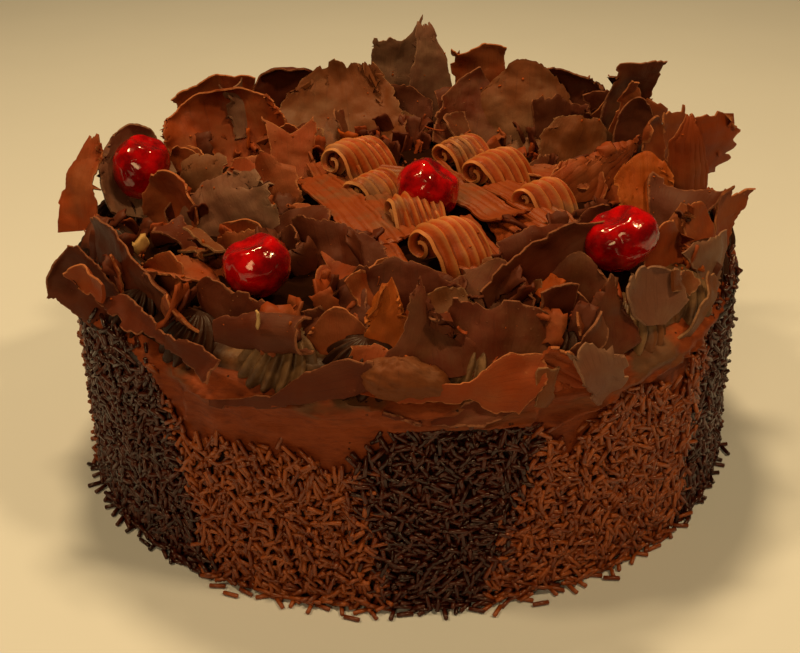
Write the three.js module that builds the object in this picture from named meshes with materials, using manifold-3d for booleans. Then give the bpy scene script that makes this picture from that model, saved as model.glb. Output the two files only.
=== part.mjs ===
// Black forest cake: a chocolate-frosted round cake with a sprinkle coat on its side, a piped
// cream border, combed chocolate curls, glazed cherries and a crown of big chocolate shavings.
// Millimetres, +Z up. The origin is the centre of the flat base. Azimuth 0 is the front (-Y),
// and azimuths grow towards +X. A place is written [azimuth in degrees, radius, height].
import * as THREE from 'three';
import { mergeVertices } from 'three/addons/utils/BufferGeometryUtils.js';
import Module from 'manifold-3d';

// ---- Driving dimensions ----
const CAKE_RADIUS = 113.8; // frosted side
const CAKE_HEIGHT = 78; // flat top of the frosting
const COAT_RADIUS = 115.6; // sprinkle coat on the side
const LIP = 1.6; // how far the frosting bulges at the top edge
const EDGE = 1.2; // rounding of the cake's edges
const SPRINKLE = { length: 5.6, radius: 0.75, sides: 5, count: 58 };
const BORDER = { radius: 102.5, halfWidth: 10.5, height: 9.5, mounds: 24, turned: -6, flutes: 3, flute: 0.5 };
const BED = { radius: 90, low: 81, high: 87 }; // small shavings under the big ones
const CHERRY_RADIUS = 11.2;
const NEST = { cherry: 17, curl: 15 }; // radius of the bed's mound under each
const CURL = { radius: 7.2, core: 2.4, wall: 1.8, turns: 1.45, ridge: 0.5, tail: 9 };
const SHARD_THICKNESS = 1.5;
const BACK_CHIPS = { count: 8, from: 96, span: 168, radius: 109, foot: 82 }; // round the back of the border
const GAP = 0.3; // clearance between touching pieces

// ---- Sprinkle coat: patches of dark and milk chocolate meet in valleys of its top outline ----
const PATCHES = [
  { centre: -56, half: 20, peak: 86 },
  { centre: -23, half: 14, peak: 53.5 },
  { centre: 7, half: 17, peak: 67 },
  { centre: 36, half: 12, peak: 63.5 },
  { centre: 67, half: 19, peak: 84 },
  { centre: 98, half: 13, peak: 57 },
  { centre: 128, half: 17, peak: 72 },
  { centre: 158, half: 13, peak: 58 },
  { centre: 188, half: 17, peak: 75 },
  { centre: 219, half: 14, peak: 55 },
  { centre: 249, half: 16, peak: 73 },
  { centre: 276, half: 12, peak: 56 },
];
const VALLEY = 46; // height of the coat where two patches meet
const COAT_LIMIT = 75; // the coat stops under the top edge

// ---- Cherries and combed curls ----
const CHERRIES = {
  cherry_left: { at: [-98, 95, 98], tilt: 20 },
  cherry_front: { at: [-31, 86, 97.5], tilt: -15 },
  cherry_middle: { at: [27, 18, 98.5], tilt: 35 },
  cherry_right: { at: [47, 90, 98.5], tilt: -30 },
};

// A curl's axis points along `axis` from the centre of its open spiral end at `at`.
const CURLS = {
  curl_back_left: { at: [-126, 33, 95], axis: 130, length: 20, scale: 1.0 },
  curl_middle_left: { at: [-76, 19, 93], axis: 128, length: 15, scale: 0.85 },
  curl_middle: { at: [-11, 27, 93.5], axis: 112, length: 17, scale: 1.0 },
  curl_front: { at: [4, 55, 93.5], axis: 112, length: 18, scale: 1.1 },
  curl_back: { at: [154, 32, 94], axis: 122, length: 15, scale: 0.95 },
  curl_right: { at: [110, 26, 94], axis: 122, length: 17, scale: 1.0 },
  curl_far_right: { at: [72, 42, 92], axis: 112, length: 15, scale: 0.85 },
};

// ---- Big shavings ----
// A shaving is a thin sheet that runs from its root to its tip and looks towards the azimuth
// `face`. `bow` bends it along its length and `cup` across its width, in degrees, and a positive
// angle makes the looking side hollow. `twist` turns the tip against the root.
// `slant` makes the right-hand side of its end longer, and `fray` is how ragged that end is.
const SHARDS = {
  // front rim
  sash_left: { root: [-28.9, 117.5, 70], tip: [-3.9, 117, 83], width: 12,
    face: -16, bow: -24, cup: -10, outline: 'boat' },
  sash_right: { root: [-5, 117.5, 78.5], tip: [18, 117.5, 78], width: 15,
    face: 8, bow: -24, cup: -14, twist: -35, outline: 'boat' },
  front_left_peak: { root: [-5, 112, 77], tip: [-2.5, 101, 105], width: 17,
    face: -26, bow: 8, cup: -24, outline: 'petal' },
  front_right_peak: { root: [3.5, 114, 80], tip: [2.5, 105, 106], width: 25,
    face: 14, bow: -10, cup: -36, outline: 'spike' },
  front_wide: { root: [14, 112, 78], tip: [15, 103, 98], width: 34,
    face: 12, bow: -10, cup: -46, outline: 'shield', fray: 0.07 },
  front_long: { root: [-2, 86, 81], tip: [-2, 77, 103], width: 46,
    face: -2, bow: -14, cup: -46, outline: 'peak' },
  front_scroll: { root: [-29, 112, 88], tip: [-15.5, 115, 89.5], width: 25,
    face: -18, bow: 6, cup: -215, outline: 'plank' },
  dark_long: { root: [16, 84, 87], tip: [45, 84, 101], width: 20,
    face: 26, bow: -10, cup: 30, outline: 'boat' },
  under_cherry: { root: [-26, 101, 84], tip: [-25, 98, 94], width: 44,
    face: -24, bow: -10, cup: -40, outline: 'shield' },
  petal_right: { root: [30.5, 114, 77], tip: [32.5, 108, 100], width: 21,
    face: 22, bow: 20, cup: -46, outline: 'petal' },
  pale_hanging: { root: [27, 120.5, 67], tip: [25.5, 118.5, 88], width: 17,
    face: 24, bow: -30, cup: 30, outline: 'petal' },
  ribbed_scoop: { root: [18, 117, 84], tip: [25, 120, 74], width: 14,
    face: 22, bow: 40, cup: 60, outline: 'disc' },
  // right rim
  dish: { root: [39, 114, 82], tip: [41.5, 109, 100], width: 28,
    face: 34, bow: 44, cup: 60, outline: 'disc' },
  by_cherry: { root: [55, 101, 80], tip: [54.3, 100, 103], width: 22,
    face: 36, bow: -10, cup: -40, outline: 'petal' },
  grey_corner: { root: [60, 113, 80], tip: [59.7, 112, 97], width: 24,
    face: 36, bow: 14, cup: -40, outline: 'fan', fray: 0.1 },
  cracked_corner: { root: [45.5, 117, 72.5], tip: [54.5, 115, 88], width: 9,
    face: 44, bow: -20, cup: 20, outline: 'plank' },
  twin_prong: { root: [77, 109, 78], tip: [79, 115, 102], width: 15,
    face: 40, bow: 20, cup: 40, outline: 'prongs' },
  serrated: { root: [96.5, 108, 90], tip: [96, 112, 114], width: 18,
    face: 22, bow: -20, cup: -40, outline: 'fan', fray: 0.12 },
  ribbed_spike: { root: [92.7, 104, 79], tip: [92.8, 101.5, 117], width: 17,
    face: 20, bow: -12, cup: -36, outline: 'spike' },
  lit_ribbed: { root: [78, 86, 81], tip: [88, 84, 106], width: 15,
    face: 5, bow: 10, cup: -30, outline: 'petal', fray: 0.1 },
  hook: { root: [122, 103, 86], tip: [121, 110, 122], width: 20,
    face: 5, bow: 30, cup: 30, outline: 'plank' },
  ledge: { root: [111, 103, 77], tip: [109, 108, 109], width: 12,
    face: 40, bow: -10, cup: 50, outline: 'plank', fray: 0.08 },
  // right middle
  streaked_right: { root: [80, 56, 80], tip: [106, 92, 101], width: 28,
    face: 15, bow: 30, cup: -60, outline: 'petal' },
  broad_right: { root: [116, 75, 81], tip: [122, 87, 102], width: 38,
    face: 10, bow: 14, cup: -24, outline: 'shield' },
  jagged_back: { root: [135, 86, 80], tip: [136, 92, 105], width: 26,
    face: 10, bow: -10, cup: 30, outline: 'fan', fray: 0.07 },
  dark_roll: { root: [38, 67, 82], tip: [40, 64, 98], width: 28,
    face: 20, bow: -60, cup: -20, slant: 0.2, outline: 'plank' },
  // back rim
  back_hill: { root: [142, 102, 79], tip: [141, 110, 113], width: 42,
    face: 0, bow: 14, cup: 24, outline: 'petal', fray: 0.05 },
  fold_right: { root: [144, 84, 80], tip: [149, 101, 113], width: 44,
    face: -5, bow: -26, cup: -50, outline: 'petal' },
  fold_left: { root: [157, 70, 82], tip: [160, 95, 111], width: 36,
    face: 8, bow: 14, cup: 60, outline: 'peak' },
  back_plate: { root: [162, 105, 79], tip: [162, 112, 116], width: 24,
    face: 0, bow: 20, cup: 14, outline: 'plank', fray: 0.06 },
  grey_side: { root: [172, 96, 80], tip: [173, 101, 126], width: 28,
    face: 15, bow: 14, cup: 30, outline: 'spike' },
  grey_spire: { root: [-177, 104, 78], tip: [-180, 110, 127], width: 24,
    face: -5, bow: 20, cup: 44, outline: 'horn' },
  disc: { root: [-160, 70, 82], tip: [-164, 96, 113], width: 52,
    face: 0, bow: 26, cup: 20, outline: 'shield' },
  back_scroll: { root: [-153, 101, 79], tip: [-152, 104, 119], width: 38,
    face: 15, bow: 44, cup: 100, outline: 'petal' },
  left_back: { root: [-138, 106, 79], tip: [-136, 112, 112], width: 36,
    face: 0, bow: 20, cup: 30, outline: 'fan', fray: 0.04 },
  left_shell: { root: [-128, 84, 80], tip: [-133, 102, 113], width: 54,
    face: 8, bow: 40, cup: 100, outline: 'petal' },
  // left rim
  cherry_cup: { root: [-93, 98, 80], tip: [-104.8, 98, 114], width: 34,
    face: 22, bow: 60, cup: 120, slant: 0.2, outline: 'disc' },
  left_sail: { root: [-85, 110, 83], tip: [-95, 109, 111], width: 27,
    face: -20, bow: -16, cup: -20, outline: 'spike' },
  far_left: { root: [-53, 112, 75], tip: [-66, 124, 91], width: 20,
    face: -20, bow: 24, cup: 20, outline: 'fan' },
  long_left: { root: [-56, 107, 80], tip: [-58, 105, 101], width: 38,
    face: -48, bow: -14, cup: -30, slant: -0.2, outline: 'shield' },
  rim_ribbon: { root: [-57, 115, 84], tip: [-27, 117, 78.5], width: 9,
    face: -42, bow: -30, cup: 20, outline: 'plank' },
  // left middle
  near_left: { root: [-80, 78, 81], tip: [-86, 83, 105], width: 31,
    face: -40, bow: 20, cup: 50, outline: 'petal' },
  smooth_left: { root: [-64, 61, 82], tip: [-80, 70, 104], width: 40,
    face: -5, bow: -20, cup: -24, outline: 'shield', fray: 0.08 },
  two_point: { root: [-118, 45, 83], tip: [-135, 60, 107], width: 21,
    face: 8, bow: 14, cup: -20, outline: 'prongs' },
  inner_front: { root: [-17, 63, 82], tip: [-27, 49, 98], width: 34,
    face: -14, bow: -16, cup: -30, slant: -0.3, outline: 'shield' },
  plank_left: { root: [-107, 34, 93], tip: [-10, 46, 90], width: 16,
    face: 'up', bow: -14, cup: 14, outline: 'plank' },
};

// Smaller shavings, fused to the bed of shavings or to the cream border that they lie on.
const BED_CHIPS = [
  { root: [60, 24, 89], tip: [39, 52, 89], width: 12, face: 'up', bow: -14, outline: 'plank' },
  { root: [28, 44, 87], tip: [30, 72, 87], width: 14, face: 'up', bow: -14, outline: 'plank' },
  { root: [-104, 83, 83], tip: [-109, 86, 101], width: 17, face: -10, cup: 30, outline: 'petal' },
  { root: [-84, 42, 84], tip: [-98, 50, 104], width: 18, face: -2, bow: -20, cup: -40, outline: 'petal' },
  { root: [165, 80, 82], tip: [165, 88, 105], width: 16, face: 0, cup: 20, outline: 'fan' },
  { root: [-178, 82, 82], tip: [178, 88, 104], width: 26, face: 0, cup: 30, outline: 'shield' },
  { root: [-66, 80, 85], tip: [-47, 78, 92], width: 5, face: 'up', outline: 'plank' },
  { root: [92, 60, 82], tip: [100, 66, 97], width: 22, face: 5, cup: 20, outline: 'shield' },
  { root: [62, 70, 82], tip: [66, 72, 98], width: 18, face: 20, cup: -30, outline: 'petal' },
  { root: [-45, 74, 82], tip: [-50, 70, 97], width: 24, face: -30, cup: -30, outline: 'shield' },
  { root: [-135, 64, 82], tip: [-140, 70, 99], width: 20, face: 0, cup: 20, outline: 'petal' },
];
const BORDER_CHIPS = [
  { root: [-10, 104, 84], tip: [-10, 101, 97], width: 15, face: -8, cup: -20, outline: 'plank' },
  { root: [-55, 109, 83], tip: [-55, 109, 97], width: 5, face: -55, outline: 'plank' },
  { root: [-47, 101, 84], tip: [-52, 98, 96], width: 26, face: -40, cup: -20, outline: 'shield' },
  { root: [106, 97, 84], tip: [104, 95, 109], width: 13, face: 30, cup: 50, outline: 'petal' },
  { root: [120, 94, 84], tip: [121, 101, 118], width: 5, face: 20, outline: 'plank' },
  { root: [25, 103, 84], tip: [25, 100, 98], width: 16, face: 30, cup: 20, outline: 'fan' },
  { root: [70, 104, 84], tip: [72, 103, 100], width: 16, face: 40, cup: -30, outline: 'petal' },
];

const CHOCOLATE = { color: 0x4a2a1c, roughness: 0.42, metalness: 0 };
const MILK_CHOCOLATE = { color: 0x6b3a20, roughness: 0.5, metalness: 0 };
const FROSTING = { color: 0x50301f, roughness: 0.55, metalness: 0 };
const CREAM = { color: 0x5a4632, roughness: 0.5, metalness: 0 };
const CHERRY = { color: 0xa00a10, roughness: 0.12, metalness: 0 };

const wasm = await Module();
wasm.setup();
const group = new THREE.Group();

// ---- Helpers ----
const radians = THREE.MathUtils.degToRad;

/** Direction of an azimuth in the ground plane. */
const heading = (azimuth) =>
  new THREE.Vector3(Math.sin(radians(azimuth)), -Math.cos(radians(azimuth)), 0);

/** Point at [azimuth, radius, height]. */
const place = ([azimuth, radius, height]) =>
  heading(azimuth).multiplyScalar(radius).setZ(height);

/** Seeded random numbers from 0 to 1. */
function randomFrom(seed) {
  let state = (seed * 2654435761) >>> 0;
  return () => {
    state = (state + 0x6d2b79f5) >>> 0;
    let t = state;
    t = Math.imul(t ^ (t >>> 15), t | 1);
    t ^= t + Math.imul(t ^ (t >>> 7), t | 61);
    return ((t ^ (t >>> 14)) >>> 0) / 4294967296;
  };
}

/** Smooth waviness round the cake, about -1 to 1. */
const waver = (azimuth, seed) =>
  Math.sin(radians(azimuth * 5 + seed * 71)) * 0.5 +
  Math.sin(radians(azimuth * 11 + seed * 37)) * 0.3 +
  Math.sin(radians(azimuth * 23 + seed * 13)) * 0.2;

/** Closed geometry to manifold solid. */
function solid(geometry) {
  const bare = geometry.clone();
  bare.deleteAttribute('normal');
  bare.deleteAttribute('uv');
  const merged = mergeVertices(bare, 1e-4);
  const index = merged.index.array;
  const triangles = [];
  for (let i = 0; i < index.length; i += 3) {
    const [a, b, c] = [index[i], index[i + 1], index[i + 2]];
    if (a !== b && b !== c && c !== a) triangles.push(a, b, c);
  }
  return new wasm.Manifold(new wasm.Mesh({
    numProp: 3,
    vertProperties: Float32Array.from(merged.attributes.position.array),
    triVerts: Uint32Array.from(triangles),
  }));
}

/** Manifold solid to geometry. */
function geometryOf(manifold) {
  const mesh = manifold.getMesh();
  const geometry = new THREE.BufferGeometry();
  geometry.setAttribute('position', new THREE.BufferAttribute(Float32Array.from(mesh.vertProperties), 3));
  geometry.setIndex(new THREE.BufferAttribute(Uint32Array.from(mesh.triVerts), 1));
  return geometry;
}

/** The biggest of a solid's separate bodies. */
function largest(manifold) {
  return manifold.decompose().reduce((best, piece) => (piece.volume() > best.volume() ? piece : best));
}

function addPiece(name, manifold, finish) {
  const mesh = new THREE.Mesh(geometryOf(manifold), new THREE.MeshStandardMaterial(finish));
  mesh.name = name;
  group.add(mesh);
}

/** Rows of points joined into a surface. Each row closes on itself where `ring` is true. */
function gridIndex(rows, columns, ring) {
  const index = [];
  const wide = ring ? columns : columns - 1;
  for (let i = 0; i < rows - 1; i++) {
    for (let j = 0; j < wide; j++) {
      const a = i * columns + j;
      const b = i * columns + ((j + 1) % columns);
      index.push(a, b, b + columns, a, b + columns, a + columns);
    }
  }
  return index;
}

function surface(points, index) {
  const geometry = new THREE.BufferGeometry();
  geometry.setAttribute('position', new THREE.Float32BufferAttribute(points.flatMap((p) => p.toArray()), 3));
  geometry.setIndex(index);
  return geometry;
}

// ---- Cake ----

/** Height of the coat's top outline. */
function coatTop(azimuth) {
  let top = VALLEY;
  for (const { centre, half, peak } of PATCHES) {
    const away = Math.abs(((azimuth - centre + 540) % 360) - 180) / half;
    if (away < 1) top = Math.max(top, VALLEY + (peak - VALLEY) * Math.cos((away * Math.PI) / 2) ** 0.6);
  }
  return Math.min(top, COAT_LIMIT);
}

/** Drum with the raised coat on its side: rings of points from the base to the middle of the top. */
function drum() {
  const columns = 72;
  const rows = [
    () => [COAT_RADIUS - EDGE, 0],
    () => [COAT_RADIUS, EDGE],
    (azimuth) => [COAT_RADIUS, coatTop(azimuth) / 2],
    (azimuth) => [COAT_RADIUS, coatTop(azimuth) - EDGE / 2],
    (azimuth) => [CAKE_RADIUS, coatTop(azimuth) + EDGE / 2],
    (azimuth) => [CAKE_RADIUS + LIP * (0.6 + 0.4 * waver(azimuth, 1)), CAKE_HEIGHT - EDGE],
    () => [CAKE_RADIUS - EDGE, CAKE_HEIGHT],
  ];
  const points = [];
  for (const row of rows) {
    for (let j = 0; j < columns; j++) {
      const azimuth = (j / columns) * 360 - 180;
      points.push(place([azimuth, ...row(azimuth)]));
    }
  }
  const index = gridIndex(rows.length, columns, true);
  const bottom = points.push(new THREE.Vector3(0, 0, 0)) - 1;
  const top = points.push(new THREE.Vector3(0, 0, CAKE_HEIGHT)) - 1;
  const last = (rows.length - 1) * columns;
  for (let j = 0; j < columns; j++) {
    const next = (j + 1) % columns;
    index.push(bottom, next, j, top, last + j, last + next);
  }
  return solid(surface(points, index));
}

/** One sprinkle along X, centred on the origin. */
function sprinkle() {
  const { length, radius, sides } = SPRINKLE;
  const profile = [
    [0, -length / 2],
    [radius, -length / 2 + radius / 2],
    [radius, length / 2 - radius / 2],
    [0, length / 2],
  ].map(([x, y]) => new THREE.Vector2(x, y));
  return new THREE.LatheGeometry(profile, sides).rotateZ(-Math.PI / 2);
}

/** Sprinkles spread evenly over the coat: steps of two irrational shares, round it and up it. */
function sprinkles() {
  const random = randomFrom(3);
  const one = sprinkle();
  const [round, rise] = [0.6180339887, 0.7548776662];
  const placed = [];
  for (let i = 0; i < SPRINKLE.count; i++) {
    const azimuth = (i * round * 360) % 360;
    const reach = coatTop(azimuth) - 1.2 * SPRINKLE.length;
    const height = 0.6 * SPRINKLE.length + ((i * rise) % 1) * reach;
    const turn = (random() - 0.5) * Math.PI;
    const matrix = new THREE.Matrix4()
      .makeTranslation(place([azimuth, COAT_RADIUS + SPRINKLE.radius / 3, height]))
      .multiply(new THREE.Matrix4().makeRotationZ(radians(azimuth)))
      .multiply(new THREE.Matrix4().makeRotationY(turn));
    placed.push(solid(one.clone().applyMatrix4(matrix)));
  }
  return placed;
}

// ---- Cream border and bed of small shavings ----

/** A ring on the cake's top edge whose section reaches `reach(azimuth, angle)` times its size. */
function ring(columns, step, foot, reach) {
  const { radius, turned } = BORDER;
  const rows = 180 / step + 1;
  const points = [];
  for (let i = 0; i < rows; i++) {
    const angle = radians(i * step);
    for (let j = 0; j < columns; j++) {
      const azimuth = (j / columns) * 360 + turned;
      const [out, up] = reach(azimuth, angle);
      points.push(place([azimuth, radius + out * Math.cos(angle), foot + up * Math.sin(angle)]));
    }
  }
  const index = gridIndex(rows, columns, true);
  const last = (rows - 1) * columns;
  for (let j = 0; j < columns; j++) {
    const next = (j + 1) % columns;
    index.push(last + j, last + next, next, last + j, next, j);
  }
  return solid(surface(points, index));
}

/** The piped cream: mounds with flutes that run round their section. `margin` grows it. */
function border(margin = 0) {
  const { halfWidth, height, mounds, turned, flutes, flute } = BORDER;
  const step = 45;
  const spread = margin * 1.2;
  return ring(mounds * 2, step, CAKE_HEIGHT + GAP - margin, (azimuth, angle) => {
    const mound = 0.5 + 0.5 * Math.cos(radians((azimuth - turned) * mounds));
    const swell = (0.8 + 0.2 * mound) * (1 + 0.02 * waver(azimuth, 4));
    const groove = Math.cos(angle * 2 * flutes) * flute;
    return [(halfWidth + groove) * swell + spread, (height + groove) * swell + margin + spread];
  });
}

/** Height of the bed: a low uneven dome with a mound under each cherry and curl. */
function bedHeight(x, y, supports) {
  const share = Math.hypot(x, y) / BED.radius;
  let height = BED.high + (BED.low - BED.high) * share * share;
  height += Math.sin(x / 5 + 1) * Math.cos(y / 6) * 1.2;
  for (const { centre, radius, top } of supports) {
    const away = Math.hypot(x - centre.x, y - centre.y) / radius;
    if (away < 1) height += (top - height) * (1 - away * away);
  }
  return height;
}

/** The bed without its loose pieces. `margin` raises and widens it. */
function bed(supports, margin = 0) {
  const rings = 6;
  const columns = 28;
  const points = [new THREE.Vector3(0, 0, CAKE_HEIGHT + GAP - margin)];
  for (let i = 0; i <= rings; i++) {
    for (let j = 0; j < columns; j++) {
      const azimuth = (j / columns) * 360;
      const edge = BED.radius + waver(azimuth, 2) * 2;
      const radius = i === 0 ? edge + margin : (edge + margin) * (1 - (i - 1) / rings);
      const point = place([azimuth, radius, 0]);
      point.z = i === 0 ? CAKE_HEIGHT + GAP - margin : bedHeight(point.x, point.y, supports) + margin;
      points.push(point);
    }
  }
  const index = gridIndex(rings + 1, columns, true).map((i) => i + 1);
  const last = rings * columns + 1;
  const top = points.push(new THREE.Vector3(0, 0, bedHeight(0, 0, supports) + margin)) - 1;
  for (let j = 0; j < columns; j++) {
    const next = (j + 1) % columns;
    index.push(0, next + 1, j + 1, top, last + j, last + next);
  }
  return solid(surface(points, index));
}

// ---- Sheets of chocolate ----

/** Half width along a sheet (0 root, 1 tip), and how far each side of its end reaches. */
const OUTLINES = {
  plank: { half: () => 1, reach: () => 1 },
  petal: { half: (v) => 0.62 + 0.38 * Math.sin(Math.PI * (0.12 + 0.7 * v)), reach: (u) => 1 - 0.3 * u * u },
  disc: { half: (v) => 0.55 + 0.45 * Math.sin(Math.PI * (0.08 + 0.8 * v)), reach: (u) => 1 - 0.42 * u * u },
  shield: { half: (v) => 0.84 + 0.16 * Math.sin(Math.PI * v), reach: (u) => 1 - 0.14 * u * u },
  peak: { half: (v) => 1 - 0.12 * v, reach: (u) => 1 - 0.42 * Math.abs(u) },
  fan: { half: (v) => 0.5 + 0.5 * v, reach: (u) => 1 - 0.1 * u * u },
  spike: { half: (v) => 1 - 0.8 * v ** 1.3, reach: () => 1 },
  horn: { half: (v) => 1 - 0.15 * v, reach: (u) => 0.8 + 0.22 * Math.max(0, u) ** 2 },
  boat: { half: (v) => 0.3 + 0.7 * Math.sin(Math.PI * (0.08 + 0.84 * v)), reach: () => 1 },
  prongs: { half: (v) => 0.7 + 0.3 * v, reach: (u) => 0.78 + 0.22 * Math.abs(u) },
};

/** Gives a flat sheet its two faces and rim. Both faces split into triangles alike. */
function thicken(sheet, thickness, across, along) {
  sheet.computeVertexNormals();
  const position = sheet.attributes.position;
  const normal = sheet.attributes.normal;
  const count = position.count;
  const front = [];
  const back = [];
  for (let i = 0; i < count; i++) {
    const point = new THREE.Vector3().fromBufferAttribute(position, i);
    const offset = new THREE.Vector3().fromBufferAttribute(normal, i).multiplyScalar(thickness / 2);
    front.push(point.clone().add(offset));
    back.push(point.sub(offset));
  }
  const faces = [...sheet.index.array];
  const index = [...faces];
  for (let i = 0; i < faces.length; i += 3) {
    index.push(faces[i] + count, faces[i + 2] + count, faces[i + 1] + count);
  }
  const columns = across + 1;
  const rim = [];
  for (let j = 0; j < across; j++) rim.push(j);
  for (let i = 0; i < along; i++) rim.push(i * columns + across);
  for (let j = across; j > 0; j--) rim.push(along * columns + j);
  for (let i = along; i > 0; i--) rim.push(i * columns);
  rim.forEach((a, k) => {
    const b = rim[(k + 1) % rim.length];
    index.push(a, b, b + count, a, b + count, a + count);
  });
  return surface([...front, ...back], index);
}

/** A shaving of `across` by `rows` facets. `margin` grows it all round. */
function shaving(spec, seed, [across, rows], margin = 0) {
  const { width, face, bow = 0, cup = 0, twist = 0, slant = 0, fray = 0.04, outline } = spec;
  const { half, reach } = OUTLINES[outline];
  const root = place(spec.root);
  const chord = place(spec.tip).sub(root);
  const along = chord.clone().normalize();
  const facing = face === 'up' ? new THREE.Vector3(0, 0, 1) : heading(face);
  const look = facing.addScaledVector(along, -facing.dot(along)).normalize();
  const side = along.clone().cross(look);
  const bend = radians(bow) || 1e-3;
  const roll = (radians(cup) || 1e-3) / width;
  const length = (chord.length() * bend) / 2 / Math.sin(bend / 2);
  const random = randomFrom(seed + 11);
  const frays = Array.from({ length: across + 1 }, () => (random() - 0.5) * 2 * fray);
  const sheet = new THREE.PlaneGeometry(2, 1, across, rows);
  const position = sheet.attributes.position;
  for (let i = 0; i < position.count; i++) {
    const u = position.getX(i);
    const rise = position.getY(i) + 0.5;
    const end = reach(u) + slant * u + frays[i % (across + 1)];
    const v = rise * (end + margin / length) - (1 - rise) * (margin / length);
    const x = u * (half(rise) * width * 0.5 + margin);
    const lean = bend * (v - 0.5);
    const onward = (Math.sin(lean) + Math.sin(bend / 2)) * (length / bend);
    const outward = (Math.cos(bend / 2) - Math.cos(lean)) * (length / bend);
    const ripple = Math.sin(u * 2.6 + seed) * Math.sin(v * 3.1 + seed * 2) * width * 0.02;
    const forward = along.clone().multiplyScalar(Math.cos(lean)).addScaledVector(look, Math.sin(lean));
    const turn = radians(twist) * (v - 0.5);
    const sideways = side.clone().applyAxisAngle(forward, turn);
    const normal = sideways.clone().cross(forward);
    const point = root.clone()
      .addScaledVector(along, onward)
      .addScaledVector(look, outward)
      .addScaledVector(sideways, Math.sin(roll * x) / roll)
      .addScaledVector(normal, (1 - Math.cos(roll * x)) / roll + ripple);
    position.setXYZ(i, point.x, point.y, point.z);
  }
  return solid(thicken(sheet, SHARD_THICKNESS + 2 * margin, across, rows));
}

/** Facets across and along a big shaving: more where it bends more. */
function facets({ width, bow = 0, cup = 0, outline }) {
  const rolled = Math.abs(cup) > 120;
  const flat = width < 30 ? 3 : 4;
  const bent = Math.abs(bow) > 40 || outline === 'boat';
  return [rolled ? 8 : flat, bent ? 4 : 3];
}

/** Small shavings that stand round the back of the border, each a little different. */
function backChips() {
  const { count, from, span, radius, foot } = BACK_CHIPS;
  const random = randomFrom(21);
  return Array.from({ length: count }, (_, i) => {
    const azimuth = from + (i + random() * 0.6) * (span / count);
    const lift = 12 + random() * 9;
    return {
      root: [azimuth, radius, foot],
      tip: [azimuth + random() * 8 - 4, radius + 3 + random() * 6, foot + lift],
      width: 16 + random() * 10,
      face: azimuth + random() * 60 - 30,
      bow: random() * 50 - 25,
      cup: random() * 80 - 40,
      outline: random() < 0.5 ? 'petal' : 'shield',
    };
  });
}

/** A combed curl: a ridged strip that runs up from the bed and rolls into an open spiral. */
function curl({ at, axis, length, scale }) {
  const centre = place(at);
  const axle = heading(axis);
  const tail = heading(axis - 90);
  const up = new THREE.Vector3(0, 0, 1);
  const steps = 9;
  const ridges = 4;
  const outer = CURL.radius * scale;
  const sheet = new THREE.PlaneGeometry(1, 1, ridges, steps);
  const position = sheet.attributes.position;
  const turn = CURL.turns * 2 * Math.PI;
  for (let i = 0; i < position.count; i++) {
    const column = i % (ridges + 1);
    const step = Math.floor(i / (ridges + 1)) / steps;
    const angle = step * turn - Math.PI / 2;
    const ridge = (column % 2 ? 1 : -1) * CURL.ridge;
    const radius = outer - (outer - CURL.core * scale) * step + ridge * (1 - step * 0.6);
    const outward = CURL.tail * scale * Math.max(0, 1 - step * 4) ** 2;
    const point = centre.clone()
      .addScaledVector(axle, (column / ridges) * length)
      .addScaledVector(tail, Math.cos(angle) * radius + outward)
      .addScaledVector(up, Math.sin(angle) * radius);
    position.setXYZ(i, point.x, point.y, point.z);
  }
  return solid(thicken(sheet, CURL.wall, ridges, steps));
}

/** The plain roll that a curl fills, for clearing its neighbours. */
function curlRoom({ at, axis, length, scale }, margin) {
  const outer = CURL.radius * scale + CURL.ridge + CURL.wall / 2 + margin;
  const roll = new THREE.CylinderGeometry(outer, outer, length + 2 * margin, 16);
  const middle = place(at).addScaledVector(heading(axis), length / 2);
  return solid(roll.rotateZ(Math.PI / 2).rotateZ(radians(axis - 90)).translate(...middle.toArray()));
}

/** A candied cherry: a wrinkled ball with a dimple on top. */
function cherry({ at, tilt }, seed, margin = 0) {
  const ball = new THREE.SphereGeometry(CHERRY_RADIUS + margin, 10, 7);
  const position = ball.attributes.position;
  for (let i = 0; i < position.count; i++) {
    const point = new THREE.Vector3().fromBufferAttribute(position, i);
    const { x, y, z } = point.clone().normalize();
    const wrinkle = 0.03 * Math.sin(4 * x + seed) * Math.cos(5 * z - seed) - 0.12 * Math.max(0, y) ** 6;
    point.multiplyScalar(1 + wrinkle);
    position.setXYZ(i, point.x, point.y, point.z);
  }
  ball.rotateX(Math.PI / 2).rotateY(radians(tilt)).translate(...place(at).toArray());
  return solid(ball);
}

// ---- Assembly ----
const cutBy = (piece, cutters) => cutters.reduce((left, cutter) => left.subtract(cutter), piece);

const cake = drum();
addPiece('cake_body', largest(wasm.Manifold.union([cake, ...sprinkles()])), FROSTING);

const supports = Object.values(CHERRIES).map(({ at }) => (
  { centre: place(at), radius: NEST.cherry, top: at[2] - CHERRY_RADIUS + 1 }));
for (const { at, axis, length, scale } of Object.values(CURLS)) {
  const centre = place(at).addScaledVector(heading(axis), length / 2);
  supports.push({ centre, radius: NEST.curl, top: at[2] - CURL.radius * scale + 0.6 });
}

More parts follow.
